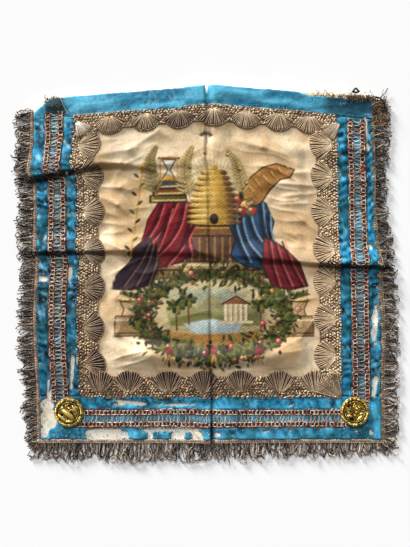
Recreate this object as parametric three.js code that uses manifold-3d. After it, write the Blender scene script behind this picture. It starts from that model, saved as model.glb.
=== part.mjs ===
// A fraternal apron laid face up on a flat surface: a cream backing with a satin field,
// a blue silk border, openwork braid, shell lace, bullion fringe, two gilt rosettes and a wire eye.
// Millimetres, +Z up, +Y towards the waist edge. The origin is under the middle of the whole apron.
import * as THREE from "three";
import { mergeVertices } from "three/addons/utils/BufferGeometryUtils.js";
import Module from "manifold-3d";

const wasm = await Module();
wasm.setup();

// Driving dimensions of the flat cloth, measured from its middle
const HALF_WIDTH = 207;
const RIBBON_OUTER = 202;
const RIBBON_INNER = 154;
const BRAID_OUTER = 190;
const BRAID_INNER = 166;
const BRAID_RAIL = 7;
const BOTTOM_EDGE = -210;
const BOTTOM_BRAID_TOP = -168;
const LACE_OUTER = 155.5;
const LACE_TAPE = 149.5;
const LACE_BAND = 131.5;
const LACE_VALLEY = 128.5;
const LACE_TIP = 122.6;
const PANEL_HALF_WIDTH = 150;
const PANEL_TOP = 175;
const PANEL_BOTTOM = -151;
const ARCH_HEIGHT = 16;
const ARCH_CENTRE = 8;
const ARCH_HALF_SPAN = 196;
const CREASE_HEIGHT = 2.5;
const ROLL_HEIGHT = 8;

// Height of each layer's underside and top above the underside of the backing
const BACKING = { under: 0, over: 1.5 };
const RIBBON = { under: 1.8, over: 3.0 };
const PANEL = { under: 1.8, over: 3.0 };
const LACE = { under: 3.3, over: 4.5 };
const BRAID = { under: 3.3, over: 4.7 };
const HEADING = { under: 1.8, over: 3.2 };
const ROSETTE_SEAT = 5.05;

const FRINGE_LENGTH = { left: 20.5, right: 18, bottom: 22.5 };
const LOCK_PITCH = 12.5;
const LOCK_SHARE = 0.78;
const CORNER_LEAN = 7;
const LOCK_THICKNESS = 1.5;

// Lines from the waist edge to the hem, one row per fold or seam. t is the row's height on the flat
// cloth and rise its height off the surface, both at the left edge, left field, centre, right field
// and right edge; left, rightIn and rightOut shift the row sideways; arch and crease scale the
// waist edge's arch and the swells beside the centre crease.
const ROWS = [
  { name: "waist edge", t: [202, 204, 204, 204.5, 206], rise: [1, 0, 0, 3, 4],
    left: -5, rightIn: 0.8, rightOut: -5.2, arch: 1, crease: 1 },
  { name: "top ribbon foot", t: [178, 178, 178, 178, 178], rise: [1, 0, 0, 0, 0],
    left: -5, rightIn: 0.8, rightOut: -6, arch: 1, crease: 1 },
  { name: "top lace tips", t: [154, 154, 154, 154, 154], rise: [1, 0, 0, 1, 0.5],
    left: -5, rightIn: 0.8, rightOut: -6.4, arch: 1, crease: 0.9 },
  { name: "tuck north foot", t: [142, 147, 138, 138, 138], rise: [2, 1, 0, 2, 1],
    left: -6, rightIn: 1, rightOut: -6.2, arch: 0.95, crease: 0.7 },
  { name: "tuck ridge", t: [116, 127, 116, 116, 116], rise: [8, 7, 1, 0.5, 0],
    left: -7.5, rightIn: 2, rightOut: -5.2, arch: 0.85, crease: 0.5 },
  { name: "tuck south foot", t: [101, 111, 104, 104, 104], rise: [0.5, 0, 0, 2, 0.5],
    left: -2, rightIn: 2, rightOut: -5.3, arch: 0.8, crease: 0.5 },
  { name: "upper plain", t: [75, 75, 75, 75, 75], rise: [0.5, 1.5, 0, 0, 0],
    left: -0.8, rightIn: 2.3, rightOut: -5.2, arch: 0.7, crease: 0.5 },
  { name: "cross fold north foot", t: [42, 40, 36, 30, 28], rise: [0.5, 0, 0, 0, 0.5],
    left: -1.4, rightIn: 3.5, rightOut: -1, arch: 0.55, crease: 0.4 },
  { name: "cross fold ridge", t: [22, 20, 12, 4, 4], rise: [6, 4, 2.2, 6, 8],
    left: -0.8, rightIn: 4.5, rightOut: 2.6, arch: 0.5, crease: 0.4 },
  { name: "cross fold south foot", t: [10, 8, -2, -6, -6], rise: [0, 0, 0, 0, 0],
    left: 1.6, rightIn: 4.8, rightOut: 3.2, arch: 0.45, crease: 0.4 },
  { name: "lower plain", t: [-40, -40, -40, -40, -40], rise: [0.5, 0, 0, 0, 0],
    left: -1.4, rightIn: 5.4, rightOut: 5, arch: 0.3, crease: 0.4 },
  { name: "low left ridge", t: [-65, -65, -65, -60, -60], rise: [2, 1, 0, 0.5, 0],
    left: -1.4, rightIn: 6, rightOut: 6.6, arch: 0.2, crease: 0.4 },
  { name: "roll north foot", t: [-82, -80, -92, -78, -82], rise: [0, 0, 0, 0, 0],
    left: -1, rightIn: 6, rightOut: 6.8, arch: 0.15, crease: 0.4 },
  { name: "roll ridge", t: [-98, -98, -114, -98, -98], rise: [0, 0, 0, 0, 0],
    left: -0.6, rightIn: 6, rightOut: 6.6, arch: 0.12, crease: 0.4 },
  { name: "bottom lace tips", t: [-123, -123, -123, -123, -123], rise: [0, 0, 0, 0, 0],
    left: 0.8, rightIn: 6.4, rightOut: 6, arch: 0.05, crease: 0.6 },
  { name: "bottom ribbon top", t: [-154, -154, -154, -154, -154], rise: [0, 0, 0, 0, 0],
    left: 2.2, rightIn: 6.8, rightOut: 5.6, arch: 0, crease: 0.8 },
  { name: "hem", t: [-210, -210, -210, -210, -206.5], rise: [0, 0, 0, 0, 0],
    left: 2.8, rightIn: 6.8, rightOut: 6.4, arch: 0, crease: 1 },
];
const STATIONS = [-207, -123, 2, 123, 207];
const COLUMNS = [-207, -154, -123, -84, -44, -12, 2, 16, 46, 84, 123, 154, 207];
const CREASE_COLUMNS = { left: -12, right: 16 };

// Places where the blue silk has split away and the cream backing shows, in plan
const SILK_LOSSES = [
  { ribbon: "bottom", x: -188, y: -180, width: 22, depth: 44, turn: 0.1 },
  { ribbon: "bottom", x: -121, y: -199, width: 46, depth: 13, turn: 0 },
  { ribbon: "bottom", x: -68, y: -199.5, width: 5, depth: 12, turn: 0.1 },
  { ribbon: "bottom", x: -35, y: -199, width: 16, depth: 13, turn: 0 },
  { ribbon: "bottom", x: -10, y: -199.5, width: 15, depth: 12, turn: 0 },
  { ribbon: "bottom", x: -93, y: -162.5, width: 30, depth: 5, turn: 0.02 },
  { ribbon: "bottom", x: -41, y: -163, width: 34, depth: 5, turn: -0.03 },
  { ribbon: "bottom", x: 69, y: -196, width: 9, depth: 5, turn: 0 },
  { ribbon: "left", x: -164.5, y: -8, width: 7, depth: 20, turn: 0.15 },
  { ribbon: "left", x: -161.5, y: -123, width: 4, depth: 30, turn: 0.05 },
  { ribbon: "left", x: -196, y: -12, width: 10, depth: 8, turn: 0 },
  { ribbon: "left", x: -191.5, y: -141, width: 6, depth: 20, turn: 0 },
  { ribbon: "right", x: 200, y: -65, width: 6, depth: 36, turn: 0.02 },
  { ribbon: "right", x: 200.5, y: -141, width: 8, depth: 18, turn: 0 },
];

const material = (color, roughness, metalness) =>
  new THREE.MeshStandardMaterial({ color, roughness, metalness });

const MATERIALS = {
  backing: material(0xe1d7be, 0.95, 0),
  satin: material(0xd7c39b, 0.5, 0),
  silk: material(0x2882aa, 0.55, 0),
  braid: material(0xc9a987, 0.5, 0.4),
  lace: material(0xb09a78, 0.5, 0.5),
  fringe: material(0x6b5c50, 0.55, 0.4),
  gilt: material(0xc8a028, 0.35, 1),
  iron: material(0x1e2c2a, 0.5, 0.8),
};

const lerp = THREE.MathUtils.lerp;

// Seeded noise, so that every build gives the same apron
let seed = 20417;
function random(low, high) {
  seed = (seed * 16807) % 2147483647;
  return lerp(low, high, seed / 2147483647);
}

// Value at s between two neighbouring entries of a list of stations
function between(stations, values, s) {
  let k = 0;
  while (k < stations.length - 2 && s > stations[k + 1]) {
    k += 1;
  }
  const f = (s - stations[k]) / (stations[k + 1] - stations[k]);
  return lerp(values[k], values[k + 1], f);
}

function sideShift(row, s) {
  const stations = [-HALF_WIDTH, -RIBBON_INNER, RIBBON_INNER, BRAID_OUTER, HALF_WIDTH];
  return between(stations, [row.left, row.left, row.rightIn, row.rightIn, row.rightOut], s);
}

// The draped cloth at each crossing of a row and a column
const NET = ROWS.map((row) => COLUMNS.map((s) => {
  const arch = ARCH_HEIGHT * (1 - Math.abs(s - ARCH_CENTRE) / ARCH_HALF_SPAN);
  const swell = s === CREASE_COLUMNS.left || s === CREASE_COLUMNS.right ? CREASE_HEIGHT : 0;
  const t = between(STATIONS, row.t, s);
  const rise = between(STATIONS, row.rise, s) + swell * row.crease;
  return { t, point: new THREE.Vector3(s + sideShift(row, s), t + arch * row.arch, rise) };
}));

function columnOf(s) {
  let j = 0;
  while (j < COLUMNS.length - 2 && s > COLUMNS[j + 1]) {
    j += 1;
  }
  return { j, g: (s - COLUMNS[j]) / (COLUMNS[j + 1] - COLUMNS[j]) };
}

// Row number, with a fraction, of the flat height t at s
function rowAt(s, t) {
  const { j, g } = columnOf(s);
  const height = (i) => lerp(NET[i][j].t, NET[i][j + 1].t, g);
  let i = 0;
  while (i < ROWS.length - 2 && t < height(i + 1)) {
    i += 1;
  }
  return i + (height(i) - t) / (height(i) - height(i + 1));
}

// Underside of the backing at s and a row number, on the flat triangles of the net
function draped(s, r) {
  const { j, g } = columnOf(s);
  const i = Math.max(0, Math.min(Math.floor(r), ROWS.length - 2));
  const f = r - i;
  const a = NET[i][j].point;
  const b = NET[i][j + 1].point;
  const c = NET[i + 1][j].point;
  const d = NET[i + 1][j + 1].point;
  const out = a.clone();
  if (f >= g) {
    out.addScaledVector(c.clone().sub(a), f).addScaledVector(d.clone().sub(c), g);
  } else {
    out.addScaledVector(b.clone().sub(a), g).addScaledVector(d.clone().sub(b), f);
  }
  return out;
}

// Collects the triangles of one closed body
class Shell {
  constructor() {
    this.positions = [];
  }

  triangle(a, b, c) {
    for (const p of [a, b, c]) {
      this.positions.push(p.x, p.y, p.z);
    }
  }

  quad(a, b, c, d) {
    this.triangle(a, b, c);
    this.triangle(a, c, d);
  }

  geometry() {
    const geometry = new THREE.BufferGeometry();
    geometry.setAttribute("position", new THREE.Float32BufferAttribute(this.positions, 3));
    return geometry;
  }
}

const lifted = (p, z) => new THREE.Vector3(p.x, p.y, p.z + z);

// Closed sheet over a grid of draped points, rows running down and columns running right.
// open(i, j) leaves a cell out and outward(i, j) grows something from the wall of a cell.
function sheetShell(grid, layer, options = {}) {
  const { open = () => false, puff = () => 0, grow = () => false } = options;
  const shell = new Shell();
  const under = grid.map((line) => line.map((p) => lifted(draped(p.s, p.r), layer.under + puff(p))));
  const over = grid.map((line) => line.map((p) => lifted(draped(p.s, p.r), layer.over + puff(p))));
  const rowCount = grid.length - 1;
  const columnCount = grid[0].length - 1;
  const solid = (i, j) =>
    i >= 0 && j >= 0 && i < rowCount && j < columnCount && !open(i, j);
  const wall = (i, j, side, a, b) => {
    if (!grow(shell, i, j, side, a, b, under, over)) {
      shell.quad(under[a[0]][a[1]], under[b[0]][b[1]], over[b[0]][b[1]], over[a[0]][a[1]]);
    }
  };
  for (let i = 0; i < rowCount; i += 1) {
    for (let j = 0; j < columnCount; j += 1) {
      if (!solid(i, j)) {
        continue;
      }
      shell.quad(over[i][j], over[i + 1][j], over[i + 1][j + 1], over[i][j + 1]);
      shell.triangle(under[i][j], under[i + 1][j + 1], under[i + 1][j]);
      shell.triangle(under[i][j], under[i][j + 1], under[i + 1][j + 1]);
      if (!solid(i - 1, j)) {
        wall(i, j, "up", [i, j + 1], [i, j]);
      }
      if (!solid(i + 1, j)) {
        wall(i, j, "down", [i + 1, j], [i + 1, j + 1]);
      }
      if (!solid(i, j - 1)) {
        wall(i, j, "left", [i, j], [i + 1, j]);
      }
      if (!solid(i, j + 1)) {
        wall(i, j, "right", [i + 1, j + 1], [i, j + 1]);
      }
    }
  }
  return shell;
}

// Row numbers from one to another, with every whole row between them
function rowsBetween(first, last) {
  const list = [first];
  for (let r = Math.floor(first) + 1; r < last; r += 1) {
    list.push(r);
  }
  list.push(last);
  return list;
}

function columnsBetween(first, last) {
  return [first, ...COLUMNS.filter((s) => s > first + 1 && s < last - 1), last];
}

// Grid with the same columns on every row
function plainGrid(sList, rList) {
  return rList.map((r) => sList.map((s) => ({ s, r })));
}

function toSolid(geometry) {
  const bare = geometry.clone();
  bare.deleteAttribute("normal");
  bare.deleteAttribute("uv");
  const merged = mergeVertices(bare, 1e-4);
  return new wasm.Manifold(new wasm.Mesh({
    numProp: 3,
    vertProperties: new Float32Array(merged.attributes.position.array),
    triVerts: new Uint32Array(merged.index.array),
  }));
}

function fromSolid(solid) {
  const mesh = solid.getMesh();
  const geometry = new THREE.BufferGeometry();
  geometry.setAttribute("position", new THREE.BufferAttribute(mesh.vertProperties, 3));
  geometry.setIndex(new THREE.BufferAttribute(mesh.triVerts, 1));
  return geometry;
}

// Upright prism with a ragged outline, for a hole through a cloth
function raggedPrism({ x, y, width, depth, turn }) {
  const outline = [];
  const corners = 9;
  for (let k = 0; k < corners; k += 1) {
    const angle = turn + (k / corners) * 2 * Math.PI;
    const reach = random(0.85, 1.1);
    const square = 1 / Math.max(Math.abs(Math.cos(angle)), Math.abs(Math.sin(angle)));
    const stretch = reach * lerp(1, square, 0.7) / 2;
    outline.push(new THREE.Vector2(
      x + Math.cos(angle) * stretch * width,
      y + Math.sin(angle) * stretch * depth,
    ));
  }
  const prism = new THREE.ExtrudeGeometry(new THREE.Shape(outline), { depth: 60, bevelEnabled: false });
  return prism.translate(0, 0, -20);
}

function cutLosses(geometry, ribbon) {
  let solid = toSolid(geometry);
  for (const loss of SILK_LOSSES.filter((row) => row.ribbon === ribbon)) {
    solid = solid.subtract(toSolid(raggedPrism(loss)));
  }
  return fromSolid(solid);
}

// The slit at the middle of the waist edge
function waistSlit() {
  const outline = [[-3.4, 230], [-1.5, 206.5], [0.7, 205.5], [1.4, 230]];
  const shape = new THREE.Shape(outline.map(([x, y]) => new THREE.Vector2(x, y)));
  return new THREE.ExtrudeGeometry(shape, { depth: 40, bevelEnabled: false }).translate(0, 0, -10);
}

function cutSlit(geometry) {
  return fromSolid(toSolid(geometry).subtract(toSolid(waistSlit())));
}

const apron = new THREE.Group();

function addMesh(name, geometry, look) {
  geometry.computeVertexNormals();
  const mesh = new THREE.Mesh(geometry, MATERIALS[look]);
  mesh.name = name;
  apron.add(mesh);
}

// Backing
const lastRow = ROWS.length - 1;
const backing = sheetShell(plainGrid(COLUMNS, rowsBetween(0, lastRow)), BACKING);
addMesh("backing", cutSlit(backing.geometry()), "backing");

// Satin field, puffed up into a roll above the bottom lace
const ROLL_ROW = ROWS.findIndex((row) => row.name === "roll ridge");
function rollPuff({ s, r }) {
  const along = Math.max(0, 1 - (s / LACE_TIP) ** 2);
  const across = Math.max(0, 1 - Math.abs(r - ROLL_ROW));
  return ROLL_HEIGHT * Math.min(1, along * 1.6) * across;
}
const panelRows = rowsBetween(rowAt(0, PANEL_TOP), rowAt(0, PANEL_BOTTOM));
const panel = sheetShell(
  plainGrid(columnsBetween(-PANEL_HALF_WIDTH, PANEL_HALF_WIDTH), panelRows),
  PANEL,
  { puff: rollPuff },
);
addMesh("satin_panel", panel.geometry(), "satin");

// Blue silk border. The top ribbon folds over the left one along a slant.
const TOP_RIBBON = [
  { s: -174.5, top: 202 },
  { s: -154, top: 203 },
  { s: -123, top: 203.2 },
  { s: -84, top: 203.2 },
  { s: -44, top: 203.2 },
  { s: -12, top: 203.2 },
  { s: 2, top: 203.2 },
  { s: 16, top: 203.2 },
  { s: 46, top: 203.2 },
  { s: 84, top: 203.2 },
  { s: 110, top: 202.5 },
  { s: 123, top: 198.5 },
  { s: 154, top: 200.5 },
  { s: 196, top: 203.5 },
];
const TOP_RIBBON_FOOT = 178.2;
const slantAt = (r) => lerp(-175.5, -154.5, Math.min(1, r));
const topRibbonGrid = [0, 1].map((line) => TOP_RIBBON.map(({ s, top }, k) => {
  const foot = k === 0 ? -154 : s;
  const place = line === 0 ? s : foot + (k === 1 ? 4 : 0);
  return { s: place, r: rowAt(place, line === 0 ? top : TOP_RIBBON_FOOT) };
}));
addMesh("ribbon_top", cutSlit(sheetShell(topRibbonGrid, RIBBON).geometry()), "silk");

const sideRows = rowsBetween(rowAt(-180, 201.5), rowAt(-180, -153.2));
const leftRibbonGrid = sideRows.map((r) => [
  { s: -RIBBON_OUTER, r },
  { s: r < 1 ? slantAt(r) : -RIBBON_INNER, r },
]);
addMesh("ribbon_left", cutLosses(sheetShell(leftRibbonGrid, RIBBON).geometry(), "left"), "silk");

const rightRows = rowsBetween(rowAt(180, 177.4), rowAt(180, -153.2));
const rightRibbonGrid = plainGrid([RIBBON_INNER, RIBBON_OUTER], rightRows);
addMesh("ribbon_right", cutLosses(sheetShell(rightRibbonGrid, RIBBON).geometry(), "right"), "silk");

const hemRow = (t) => lastRow - 1 + (-RIBBON_INNER - t) / (-RIBBON_INNER - BOTTOM_EDGE);
const bottomRibbonGrid = plainGrid(
  columnsBetween(-RIBBON_OUTER, RIBBON_OUTER),
  [hemRow(-154), hemRow(-205)],
);
addMesh("ribbon_bottom", cutLosses(sheetShell(bottomRibbonGrid, RIBBON).geometry(), "bottom"), "silk");

// Braid: two rails joined by rungs, with an opening between each two rungs
const OPENING_SHARE = 0.68;
function runsAlong(stops, pitch) {
  const lines = [];
  for (let k = 0; k + 1 < stops.length; k += 1) {
    const length = Math.abs(stops[k + 1].at - stops[k].at);
    const count = Math.max(1, Math.round(length / pitch));
    for (let n = 0; n < count; n += 1) {
      const start = lerp(stops[k].value, stops[k + 1].value, n / count);
      const end = lerp(stops[k].value, stops[k + 1].value, (n + 1) / count);
      lines.push(start, lerp(start, end, OPENING_SHARE));
    }
  }
  lines.push(stops[stops.length - 1].value);
  return lines;
}

// Row numbers between two of them, each with its height on the flat cloth at s
function rowStops(s, first, last) {
  return rowsBetween(first, last).map((value) => {
    const i = Math.min(Math.floor(value), lastRow - 1);
    const at = lerp(between(STATIONS, ROWS[i].t, s), between(STATIONS, ROWS[i + 1].t, s), value - i);
    return { value, at };
  });
}

const BRAID_PITCH = 24;
function sideBraid(sign, first, last) {
  const edges = [BRAID_OUTER, BRAID_OUTER - BRAID_RAIL, BRAID_INNER + BRAID_RAIL, BRAID_INNER];
  const sList = edges.map((s) => sign * s).sort((a, b) => a - b);
  const rList = runsAlong(rowStops(sign * 178, first, last), BRAID_PITCH);
  return sheetShell(plainGrid(sList, rList), BRAID, { open: (i, j) => j === 1 && i % 2 === 0 });
}
addMesh("braid_left", sideBraid(-1, rowAt(-178, 186), hemRow(-161)).geometry(), "braid");
addMesh("braid_right", sideBraid(1, rowAt(178, 176.5), hemRow(-161)).geometry(), "braid");

const braidStops = columnsBetween(-160, 163).map((s) => ({ value: s, at: s }));
const bottomBraidGrid = [
  BOTTOM_BRAID_TOP,
  BOTTOM_BRAID_TOP - BRAID_RAIL,
  BOTTOM_BRAID_TOP - 24 + BRAID_RAIL,
  BOTTOM_BRAID_TOP - 24,
].map((t) => runsAlong(braidStops, BRAID_PITCH).map((s) => ({ s, r: hemRow(t) })));
const bottomBraid = sheetShell(bottomBraidGrid, BRAID, { open: (i, j) => i === 1 && j % 2 === 0 });
addMesh("braid_bottom", bottomBraid.geometry(), "braid");

// Lace: a straight tape, a pierced band and a scalloped edge of shells
const SHELLS = {
  left: [150, 110, 64, 18, -25, -72, -118],
  right: [154, 108, 64, 20, -14, -61, -107],
  top: [-112, -70, -30, 10, 48, 86, 124],
  bottom: [-131, -101, -50, -9, 34, 81, 123],
};
const SHELL_HALF = 13;

// Lines across a lace: the cloth's own lines, the two shoulders of each shell and the dips between
// shells. A line nearer than gap to one of the cloth's own is left out.
function laceLines(stops, shells, toLine, gap) {
  const extra = [];
  shells.forEach((shell, k) => {
    extra.push(toLine(shell + SHELL_HALF), toLine(shell - SHELL_HALF));
    if (k > 0) {
      extra.push(toLine((shell + shells[k - 1]) / 2));
    }
  });
  const first = stops[0];
  const last = stops[stops.length - 1];
  const clear = (value) => value > first && value < last
    && stops.every((stop) => Math.abs(stop - value) > gap);
  return [...stops, ...extra.filter(clear)].sort((a, b) => a - b);
}

// How far the scalloped edge stands out at a place along the lace, 1 at a shell and 0 between
function scallop(at, shells) {
  const nearest = Math.min(...shells.map((shell) => Math.abs(shell - at)));
  return nearest <= SHELL_HALF + 0.2 ? 1 : Math.max(0, 1 - (nearest - SHELL_HALF) / 5);
}

function sideLace(sign, shells) {
  const middle = sign * 140;
  const stops = rowsBetween(rowAt(middle, 153.2), rowAt(middle, -122));
  const lines = laceLines(stops, shells, (t) => rowAt(middle, t), 0.05);
  const tAt = (r) => {
    const i = Math.min(Math.floor(r), lastRow - 1);
    return lerp(between(STATIONS, ROWS[i].t, middle), between(STATIONS, ROWS[i + 1].t, middle), r - i);
  };
  const grid = lines.map((r) => {
    const tip = lerp(LACE_VALLEY, LACE_TIP, scallop(tAt(r), shells));
    const sList = [LACE_OUTER, LACE_TAPE, LACE_BAND, tip].map((s) => sign * s);
    return sList.sort((a, b) => a - b).map((s) => ({ s, r }));
  });
  const pierced = (i) => scallop((tAt(lines[i]) + tAt(lines[i + 1])) / 2, shells) === 1;
  return sheetShell(grid, LACE, { open: (i, j) => j === 1 && pierced(i) });
}
addMesh("lace_left", sideLace(-1, SHELLS.left).geometry(), "lace");
addMesh("lace_right", sideLace(1, SHELLS.right).geometry(), "lace");

// flip is 1 where the shells point to the hem and -1 where they point to the waist edge
function crossLace(outer, reach, shells, flip) {
  const lines = laceLines(columnsBetween(-LACE_OUTER, LACE_OUTER), shells, (s) => s, 1.2);
  const depths = [0, 6, reach - 9];
  const grid = [...depths, reach].map((depth) => lines.map((s) => {
    const edge = lerp(reach - 6, reach, scallop(s, shells));
    const t = outer - flip * (depth === reach ? edge : depth);
    return { s, r: rowAt(s, t) };
  }));
  if (flip < 0) {
    grid.reverse();
  }
  const pierced = (j) => scallop((lines[j] + lines[j + 1]) / 2, shells) === 1;
  return sheetShell(grid, LACE, { open: (i, j) => i === 1 && pierced(j) });
}
addMesh("lace_top", crossLace(179.8, 25.4, SHELLS.top, 1).geometry(), "lace");
addMesh("lace_bottom", crossLace(-155.5, 32.2, SHELLS.bottom, -1).geometry(), "lace");

// Fringe: a woven heading on the backing's margin, with locks that fall to the surface
function lockFrom(shell, rootUnder, rootOver, out, length, cornerLean) {
  const [a, b] = rootUnder;
  const [c, d] = rootOver;
  const along = b.clone().sub(a).setZ(0);
  const lean = random(-1.4, 1.4) + cornerLean;
  const reach = length * random(0.86, 1.04);
  const ring = (share, squeeze, drop) => {
    const shift = out.clone().multiplyScalar(reach * share);
    shift.addScaledVector(along.clone().normalize(), lean * share);
    const low = THREE.MathUtils.lerp(a.z, 0, drop);
    const near = a.clone().addScaledVector(along, squeeze).add(shift);
    const far = b.clone().addScaledVector(along, -squeeze).add(shift);
    return [near.clone().setZ(low), far.clone().setZ(low),
      far.clone().setZ(low + LOCK_THICKNESS), near.clone().setZ(low + LOCK_THICKNESS)];
  };
  const rings = [[a, b, d, c], ring(0.42, 0.04, 0.62), ring(1, 0.2, 1)];
  for (let k = 0; k + 1 < rings.length; k += 1) {
    for (let n = 0; n < 4; n += 1) {
      const m = (n + 1) % 4;
      shell.quad(rings[k][n], rings[k][m], rings[k + 1][m], rings[k + 1][n]);
    }
  }
  const tip = rings[rings.length - 1];
  shell.quad(tip[0], tip[1], tip[2], tip[3]);
}

function lockStops(stops) {
  const lines = [];
  for (let k = 0; k + 1 < stops.length; k += 1) {
    const length = Math.abs(stops[k + 1].at - stops[k].at);
    const count = Math.max(1, Math.round(length / LOCK_PITCH));
    for (let n = 0; n < count; n += 1) {
      const start = lerp(stops[k].value, stops[k + 1].value, n / count);
      const end = lerp(stops[k].value, stops[k + 1].value, (n + 1) / count);
      lines.push(start, lerp(start, end, LOCK_SHARE));
    }
  }
  lines.push(stops[stops.length - 1].value);
  return lines;
}

// Grows locks from every second stretch of the heading's outer wall. leanAt(n) is how far the lock
// on stretch n leans towards the corner of the apron.
function growLocks({ outerSide, out, length, index, leanAt }) {
  return (shell, i, j, side, a, b, under, over) => {
    const n = index(i, j);
    if (side !== outerSide || n % 2 !== 0) {
      return false;
    }
    const pick = (layer, at) => layer[at[0]][at[1]];
    const rootUnder = [pick(under, a), pick(under, b)];
    const rootOver = [pick(over, a), pick(over, b)];
    lockFrom(shell, rootUnder, rootOver, out, length, leanAt(n));
    return true;
  };
}

function sideFringe(sign, first) {
  const lines = lockStops(rowStops(sign * 205, rowAt(sign * 205, first), hemRow(-204)));
  const sList = sign < 0 ? [-HALF_WIDTH - 0.6, -RIBBON_OUTER - 0.5] : [RIBBON_OUTER + 0.5, HALF_WIDTH + 0.6];
  const lastLock = lines.length - 3;
  const grow = growLocks({
    outerSide: sign < 0 ? "left" : "right",
    out: new THREE.Vector3(sign, 0, 0),
    length: sign < 0 ? FRINGE_LENGTH.left : FRINGE_LENGTH.right,
    index: (i) => i,
    leanAt: (n) => (n === lastLock ? -sign * CORNER_LEAN : 0),
  });
  return sheetShell(plainGrid(sList, lines), HEADING, { grow });
}
addMesh("fringe_left", sideFringe(-1, 190).geometry(), "fringe");
addMesh("fringe_right", sideFringe(1, 196).geometry(), "fringe");

const hemStops = columnsBetween(-HALF_WIDTH, HALF_WIDTH).map((s) => ({ value: s, at: s }));
const hemLines = lockStops(hemStops);
const hemGrid = [hemRow(-205.5), hemRow(-210.6)].map((r) => hemLines.map((s) => ({ s, r })));
const growHem = growLocks({
  outerSide: "down",
  out: new THREE.Vector3(0, -1, 0),
  length: FRINGE_LENGTH.bottom,
  index: (i, j) => j,
  leanAt: (n) => {
    if (n === 0) {
      return -CORNER_LEAN;
    }
    return n === hemLines.length - 3 ? CORNER_LEAN : 0;
  },
});
addMesh("fringe_bottom", sheetShell(hemGrid, HEADING, { grow: growHem }).geometry(), "fringe");

// Rosette: a domed gilt plate with a rope rim and eight openings
const ROSETTE_SEGMENTS = 24;
const ROSETTE_RINGS = [
  { radius: 3.6, height: 6.6 },
  { radius: 6.2, height: 5.2 },
  { radius: 12.4, height: 3.4 },
  { radius: 14.6, height: 4.4 },
  { radius: 17.6, height: 2.2 },
];
function rosette() {
  const shell = new Shell();
  const at = (k, n, z) => {
    const angle = ((n % ROSETTE_SEGMENTS) / ROSETTE_SEGMENTS) * 2 * Math.PI;
    const radius = ROSETTE_RINGS[k].radius;
    return new THREE.Vector3(Math.cos(angle) * radius, Math.sin(angle) * radius, z);
  };
  const low = (k, n) => at(k, n, 0);
  const high = (k, n) => at(k, n, ROSETTE_RINGS[k].height);
  const openAt = (k, n) => k === 1 && ((n + ROSETTE_SEGMENTS) % ROSETTE_SEGMENTS) % 3 !== 2;
  const crown = new THREE.Vector3(0, 0, 7.2);
  const foot = new THREE.Vector3(0, 0, 0);
  const rim = ROSETTE_RINGS.length - 1;
  for (let n = 0; n < ROSETTE_SEGMENTS; n += 1) {
    shell.triangle(crown, high(0, n), high(0, n + 1));
    shell.triangle(foot, low(0, n + 1), low(0, n));
    shell.quad(low(rim, n), low(rim, n + 1), high(rim, n + 1), high(rim, n));
    for (let k = 0; k < rim; k += 1) {
      if (openAt(k, n)) {
        shell.quad(low(k, n), low(k, n + 1), high(k, n + 1), high(k, n));
        shell.quad(low(k + 1, n + 1), low(k + 1, n), high(k + 1, n), high(k + 1, n + 1));
        continue;
      }
      shell.quad(high(k, n), high(k + 1, n), high(k + 1, n + 1), high(k, n + 1));
      shell.quad(low(k, n), low(k, n + 1), low(k + 1, n + 1), low(k + 1, n));
      if (openAt(k, n + 1)) {
        shell.quad(low(k + 1, n + 1), low(k, n + 1), high(k, n + 1), high(k + 1, n + 1));
      }
      if (openAt(k, n - 1)) {
        shell.quad(low(k, n), low(k + 1, n), high(k + 1, n), high(k, n));
      }
    }
  }
  return shell.geometry();
}
const ROSETTES = [
  { name: "rosette_left", x: -165.1, y: -172.6, turn: 0.3 },
  { name: "rosette_right", x: 176.6, y: -171.7, turn: -0.2 },
];
for (const { name, x, y, turn } of ROSETTES) {
  addMesh(name, rosette().rotateZ(turn).translate(x, y, ROSETTE_SEAT), "gilt");
}

// Wire eye, sewn flat to the bare margin of the backing at the top right
const EYE = { x: 178, base: 205.4, apex: 215.4, halfWidth: 4.8, wire: 1.5, low: 5.9, thickness: 1.2 };
const eyeShape = new THREE.Shape([
  new THREE.Vector2(EYE.x - EYE.halfWidth, EYE.base),
  new THREE.Vector2(EYE.x + EYE.halfWidth, EYE.base),
  new THREE.Vector2(EYE.x, EYE.apex),
]);
eyeShape.holes.push(new THREE.Path([
  new THREE.Vector2(EYE.x - EYE.halfWidth + EYE.wire * 1.6, EYE.base + EYE.wire),
  new THREE.Vector2(EYE.x, EYE.apex - EYE.wire * 2.4),
  new THREE.Vector2(EYE.x + EYE.halfWidth - EYE.wire * 1.6, EYE.base + EYE.wire),
]));
const eye = new THREE.ExtrudeGeometry(eyeShape, { depth: EYE.thickness, bevelEnabled: false });
addMesh("hook_eye", eye.translate(0, 0, EYE.low), "iron");

// The origin goes under the middle of everything
const box = new THREE.Box3().setFromObject(apron);
const centre = box.getCenter(new THREE.Vector3());
apron.position.set(-centre.x, -centre.y, -box.min.z);

export default apron;
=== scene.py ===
# A fraternal apron laid face up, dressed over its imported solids.
# Flat-cloth coordinates are s to the right and t towards the waist edge, in millimetres.
# w is a height above the underside of the backing. Photo positions are in pixels.
from collections import namedtuple
from functools import reduce

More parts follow.
